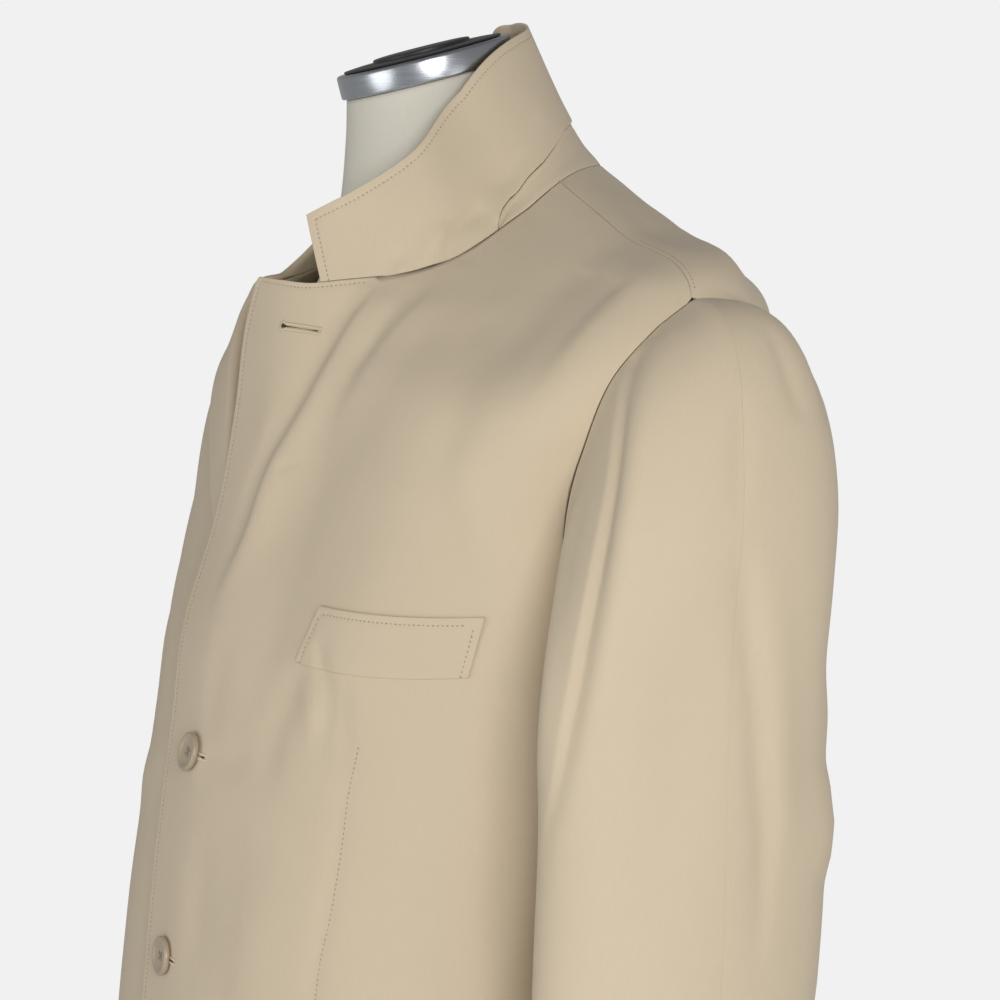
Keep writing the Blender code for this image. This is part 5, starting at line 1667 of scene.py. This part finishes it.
def onLapel(path, lift):
    # the left front's finished surface at places of the front view, lapel included
    path = np.asarray(path, float)
    x, z = path[..., 0], path[..., 1]
    up = normalsOf(lambda a, b: lapelPoint(1, a, b), x, z, 0.0004, 0.0004)
    up = np.where(up[..., 1:2] > 0, -up, up)
    points = lapelPoint(1, x, z)
    return points + up * (frontHeights(1, x, z, points, up) + lift)[..., None], up


def holeShadePatch(name, outline, lift=0.00026, thick=0.0006):
    # a thin dark piece painted as the shade inside a hole
    middle = outline.mean(0)
    top, _ = onLapel(np.concatenate([outline, [middle]]), lift)
    low, _ = onLapel(np.concatenate([outline, [middle]]), lift - thick)
    n = len(outline)
    k = np.arange(n)
    m = (k + 1) % n
    faces = [(a, b, n) for a, b in zip(k, m)] + [(n + 1 + b, n + 1 + a, 2 * n + 1) for a, b in zip(k, m)]
    faces += [(b, a, n + 1 + a, n + 1 + b) for a, b in zip(k, m)]
    points = np.concatenate([top, low]) + (0, 0, seamHeight)
    made = faceOut(meshObject(name, points, faces, holeShadeCloth, smoothShade=False))
    finishPiece(made, "beige_cloth")


for name, shape in buttonholes.items():
    buttonhole(name, shape)
print("buttonholes made")

button = {
    "radius": 0.010, "thick": 0.0034, "x": (0.0220, 0.0125, 0.0145), "heights": (-0.2965, -0.4000, -0.5035),
    "seat": 0.0003,
    "holeRadius": 0.00095, "holeOut": 0.0019,
    "profile": (  # radius share, height share
        (0.70, 0.00), (0.84, 0.02), (0.93, 0.12), (0.985, 0.32), (1.00, 0.55), (0.995, 0.74), (0.965, 0.90),
        (0.92, 0.98),
        (0.87, 1.00), (0.82, 0.98), (0.77, 0.91), (0.71, 0.80), (0.64, 0.71), (0.55, 0.66), (0.40, 0.63),
        (0.20, 0.62),
    ),
}


def buttonPiece(number, height):
    x, z = np.array(button["x"][number - 1]), np.array(height)
    place, up = onFront(x, z, button["seat"])
    place = place + (0, 0, seamHeight)
    profile = [(button["radius"] * r, button["thick"] * h) for r, h in button["profile"]]
    made = turnedMesh(f"button{number}", profile, 64, buttonMaterial)
    turn = math.radians(8 + 17 * number)
    for k in range(4):
        angle = turn + k * math.pi / 2
        centre = (button["holeOut"] * math.cos(angle), button["holeOut"] * math.sin(angle), 0.0)
        hole = [(button["holeRadius"], -0.002), (button["holeRadius"], 0.006)]
        drill = turnedMesh("drill", hole, 20, buttonMaterial, place=centre)
        cut = made.modifiers.new("hole", "BOOLEAN")
        cut.operation, cut.object, cut.solver = "DIFFERENCE", drill, "EXACT"
        settled(made)
        bpy.data.objects.remove(drill, do_unlink=True)
    spin = np.array(frameFor(up))
    points = np.array([v.co[:] for v in made.data.vertices]) @ spin + place
    made.data.vertices.foreach_set("co", points.astype(np.float32).reshape(-1))
    made.data.update()
    made.data.shade_smooth()
    made.data.set_sharp_from_angle(angle=math.radians(38))
    finishPiece(made, "button", f"button_{number}")
    # two bars of thread across each pair of holes
    floor = button["thick"] * 0.64
    bars = []
    for k in (0, 1):
        angle = turn + k * math.pi / 2
        for offset in (-0.00022, 0.00022):
            s = np.linspace(-1, 1, 13)
            along = s * (button["holeOut"] + 0.0001)
            rise = 0.00038 * (1 - s**2) - 0.0004 * (np.abs(s) > 0.93) + 0.00012 * k
            across = along * math.cos(angle) - offset * math.sin(angle)
            onward = along * math.sin(angle) + offset * math.cos(angle)
            local = np.stack([across, onward, floor + rise], -1)
            bars.append((local @ spin + place - (0, 0, seamHeight), np.broadcast_to(up, local.shape)))
    thread = stitchRow(
        f"button{number}Thread", bars, Pitch=0.00030, Length=0.0006, Width=0.00042, Height=0.00040,
        Uneven=0.05
    )
    finishPiece(thread, "button")


for number, height in enumerate(button["heights"], start=1):
    buttonPiece(number, height)
print("buttons made")

# the dress form stands inside the cloth
form = {
    "inset": {
        0.0: 0.034, 1.0: 0.036, 2.0: 0.036, 3.0: 0.032, 4.0: 0.026, 5.0: 0.020, 6.0: 0.0130, 7.0: 0.0090,
        7.55: 0.0046, 8.0: 0.0046, 8.5: 0.0060, 8.8: 0.0135
    },
    "levels": (0.36, 1.0, 2.0, 3.0, 4.0, 5.0, 5.8, 6.4, 6.8, 7.15, 7.55, 8.0, 8.5, 8.8),
    "sides": 128, "between": 7,
    "bottomEdge": ((0.3, 0.0), (0.90, 0.0), (0.965, 0.0008), (0.99, 0.0032)),  # share of the ring, lift
    "neckY": -0.0159, "ringRadius": 0.0463, "ringHeight": 0.0125, "tilt": 15.5, "ringLow": 0.0445,
    "seat": 0.00036,
    "neckRows": (
        (-0.0350, 0.0590, 27.0), (-0.0180, 0.0500, 21.0), (-0.0020, 0.0455, 17.0), (0.0250, 0.0430, 15.5),
        (0.04414, 0.0425, 15.5)
    ),
}


def formTorso():
    angles = np.linspace(0, 360, form["sides"], endpoint=False)
    rows = []
    for t in form["levels"]:
        inset = np.interp(t, list(form["inset"]), list(form["inset"].values()))
        rows.append(bodyPoint(angles, t) - bodyNormal(angles, t) * inset)
    turn = np.radians(angles)
    for height, radius, tilt in form["neckRows"]:
        ahead = -radius * np.cos(turn)
        level = height + ahead * math.tan(math.radians(tilt))
        rows.append(np.stack([radius * np.sin(turn), form["neckY"] + ahead, level], -1))
    rows = np.array(rows)
    count = len(rows)
    fine = catmull(
        rows.reshape(count, -1), np.linspace(0, count - 1, (count - 1) * form["between"] + 1)
    ).reshape(-1, form["sides"], 3)
    # the bottom closes with a rounded edge
    middle = fine[0].mean(0)
    bottom = [middle + (fine[0] - middle) * share + (0, 0, lift) for share, lift in form["bottomEdge"]]
    fine = np.concatenate([bottom, fine[2:]])
    sides, rows = form["sides"], len(fine)
    index = np.arange(rows * sides).reshape(rows, sides)
    index = np.concatenate([index, index[:, :1]], 1)
    faces = np.stack(
        [index[:-1, :-1], index[:-1, 1:], index[1:, 1:], index[1:, :-1]], -1
    ).reshape(-1, 4).tolist()
    points = np.concatenate([fine.reshape(-1, 3), [fine[0].mean(0), fine[-1].mean(0)]]) + (0, 0, seamHeight)
    for j in range(sides):
        faces.append((index[0, j + 1], index[0, j], rows * sides))
        faces.append((index[-1, j], index[-1, j + 1], rows * sides + 1))
    made = meshObject("formTorso", points, faces, canvasCotton)
    u = np.tile(np.linspace(0, 1, sides, endpoint=False) * 0.9, (rows, 1))
    v = np.tile(runLengths(fine[:, :1], 0), (1, sides))
    flatMap = np.concatenate([np.stack([u, v], -1).reshape(-1, 2), [(0.45, 0), (0.45, v.max())]])
    addFlatMap(made, flatMap, False)
    setDrawnLine(made, np.full(len(points), 1.0))
    return faceOut(made)


finishPiece(formTorso(), "canvas", "form_torso")
tilt = math.radians(form["tilt"])
up = np.array([0.0, -math.sin(tilt), math.cos(tilt)])
seat = np.array([0.0, form["neckY"], form["ringLow"] + seamHeight])
ringProfile = (
    (0.955, 0.0), (0.985, 0.02), (0.997, 0.06), (1.0, 0.12), (1.0, 0.84), (0.996, 0.93), (0.986, 0.98),
    (0.972, 1.0)
)
capProfile = (
    (0.90, 0.0), (0.905, 0.0004), (0.900, 0.0010), (0.80, 0.0014), (0.57, 0.0016), (0.560, 0.0018),
    (0.555, 0.0030), (0.54, 0.0034), (0.50, 0.0036), (0.30, 0.0038)
)
made = turnedMesh(
    "neckRing", [(form["ringRadius"] * r, form["ringHeight"] * h) for r, h in ringProfile], 128,
    chromeMaterial, place=seat, axis=up, sharp=35
)
finishPiece(made, "chrome_ring", "neck_ring")
made = turnedMesh(
    "neckCap", [(form["ringRadius"] * r, h) for r, h in capProfile], 96, capMaterial,
    place=seat + up * (form["ringHeight"] + form["seat"]), axis=up, sharp=40
)
finishPiece(made, "dark_cap", "neck_cap")

stand = {
    "baseRadius": 0.175, "poleRadius": 0.016,
    "base": (
        (0.985, 0.0), (0.997, 0.0008), (1.0, 0.0022), (1.0, 0.0066), (0.997, 0.0090), (0.985, 0.0125),
        (0.95, 0.0146), (0.80, 0.0186), (0.55, 0.0232), (0.30, 0.0268), (0.20, 0.0290), (0.155, 0.0318),
        (0.142, 0.0334), (0.130, 0.0340)
    ),
}
made = turnedMesh(
    "baseDisc", [(stand["baseRadius"] * r, h) for r, h in stand["base"]], 160, standMaterial, sharp=60
)
finishPiece(made, "dark_metal", "base")
bottom = float(bodyPoint(0.0, form["levels"][0])[2]) + seamHeight
r, low, high = stand["poleRadius"], stand["base"][-1][1] + form["seat"], bottom - form["seat"]
made = turnedMesh(
    "pole", [(r * 0.94, low), (r, low + 0.001), (r, high - 0.001), (r * 0.94, high)], 64, standMaterial,
    sharp=40
)
finishPiece(made, "dark_metal", "pole")
print("form made")

# floor, light and camera
view = {"azimuth": 65.0, "pitch": 3.8, "distance": 1.6, "target": (0.0096, 0.0205, 0.780), "lens": 109.5}
studio = {"ground": 0.88, "floorRadius": 1.6, "floorColour": (0.86, 0.86, 0.86)}
floorMaterial = plainMaterial("paleFloor", studio["floorColour"], 0.9, amount=0.01, broad=3.0)
turn = np.linspace(0, 2 * math.pi, 96, endpoint=False)
disc = np.stack([np.cos(turn), np.sin(turn), np.zeros(96)], -1) * studio["floorRadius"] - (0, 0, 0.0005)
floor = meshObject("floor", disc, [list(range(96))], floorMaterial, smoothShade=False)

world = bpy.data.worlds.new("studio")
bpy.context.scene.world = world
world.use_nodes = True
tree = world.node_tree
tree.nodes.clear()
direction = tree.nodes.new("ShaderNodeSeparateXYZ")
tree.links.new(tree.nodes.new("ShaderNodeTexCoord").outputs["Generated"], direction.inputs[0])
ramp = tree.nodes.new("ShaderNodeValToRGB")
tree.links.new(plus(tree, times(tree, direction.outputs["Z"], 0.5), 0.5), ramp.inputs[0])
ramp.color_ramp.elements[0].position, ramp.color_ramp.elements[0].color = 0.30, (0.42, 0.42, 0.42, 1)
ramp.color_ramp.elements[1].position, ramp.color_ramp.elements[1].color = 0.92, (0.20, 0.20, 0.20, 1)
middle = ramp.color_ramp.elements.new(0.50)
middle.color = (0.40, 0.40, 0.40, 1)
lightPath = tree.nodes.new("ShaderNodeLightPath")
lit, seen, mixed, worldOut = (
    tree.nodes.new(kind)
    for kind in (
        "ShaderNodeBackground", "ShaderNodeBackground", "ShaderNodeMixShader", "ShaderNodeOutputWorld"
    )
)
tree.links.new(ramp.outputs[0], lit.inputs[0])
seen.inputs[0].default_value = (studio["ground"],) * 3 + (1,)
tree.links.new(lightPath.outputs["Is Camera Ray"], mixed.inputs[0])
tree.links.new(lit.outputs[0], mixed.inputs[1])
tree.links.new(seen.outputs[0], mixed.inputs[2])
tree.links.new(mixed.outputs[0], worldOut.inputs[0])


def awayFrom(azimuth, elevation):
    a, e = math.radians(azimuth), math.radians(elevation)
    return np.array([math.sin(a) * math.cos(e), -math.cos(a) * math.cos(e), math.sin(e)])


def aimed(made, away, distance):
    # placed at a distance from the target and turned towards it
    made.location = tuple(np.array(view["target"]) + away * distance)
    made.rotation_euler = Vector(-away).to_track_quat("-Z", "Y").to_euler()


def softLight(name, azimuth, elevation, distance, size, power):
    data = bpy.data.lights.new(name, "AREA")
    data.shape, data.size, data.energy = "DISK", size, power
    aimed(linked(name, data), awayFrom(azimuth, elevation), distance)


lights = {  # azimuth, elevation, distance, size, watts
    "key": (74, 7, 2.6, 1.2, 33), "fill": (5, -6, 2.7, 1.6, 14.5), "rim": (110, -12, 2.8, 1.4, 5.5),
}
for name, light in lights.items():
    softLight(name, *light)

bpy.context.scene.view_settings.view_transform = "Standard"
camera = linked("camera", bpy.data.cameras.new("camera"))
aimed(camera, awayFrom(view["azimuth"], view["pitch"]), view["distance"])
camera.data.lens, camera.data.sensor_width, camera.data.sensor_fit = view["lens"], 36.0, "AUTO"
bpy.context.scene.camera = camera

print("scene ready")
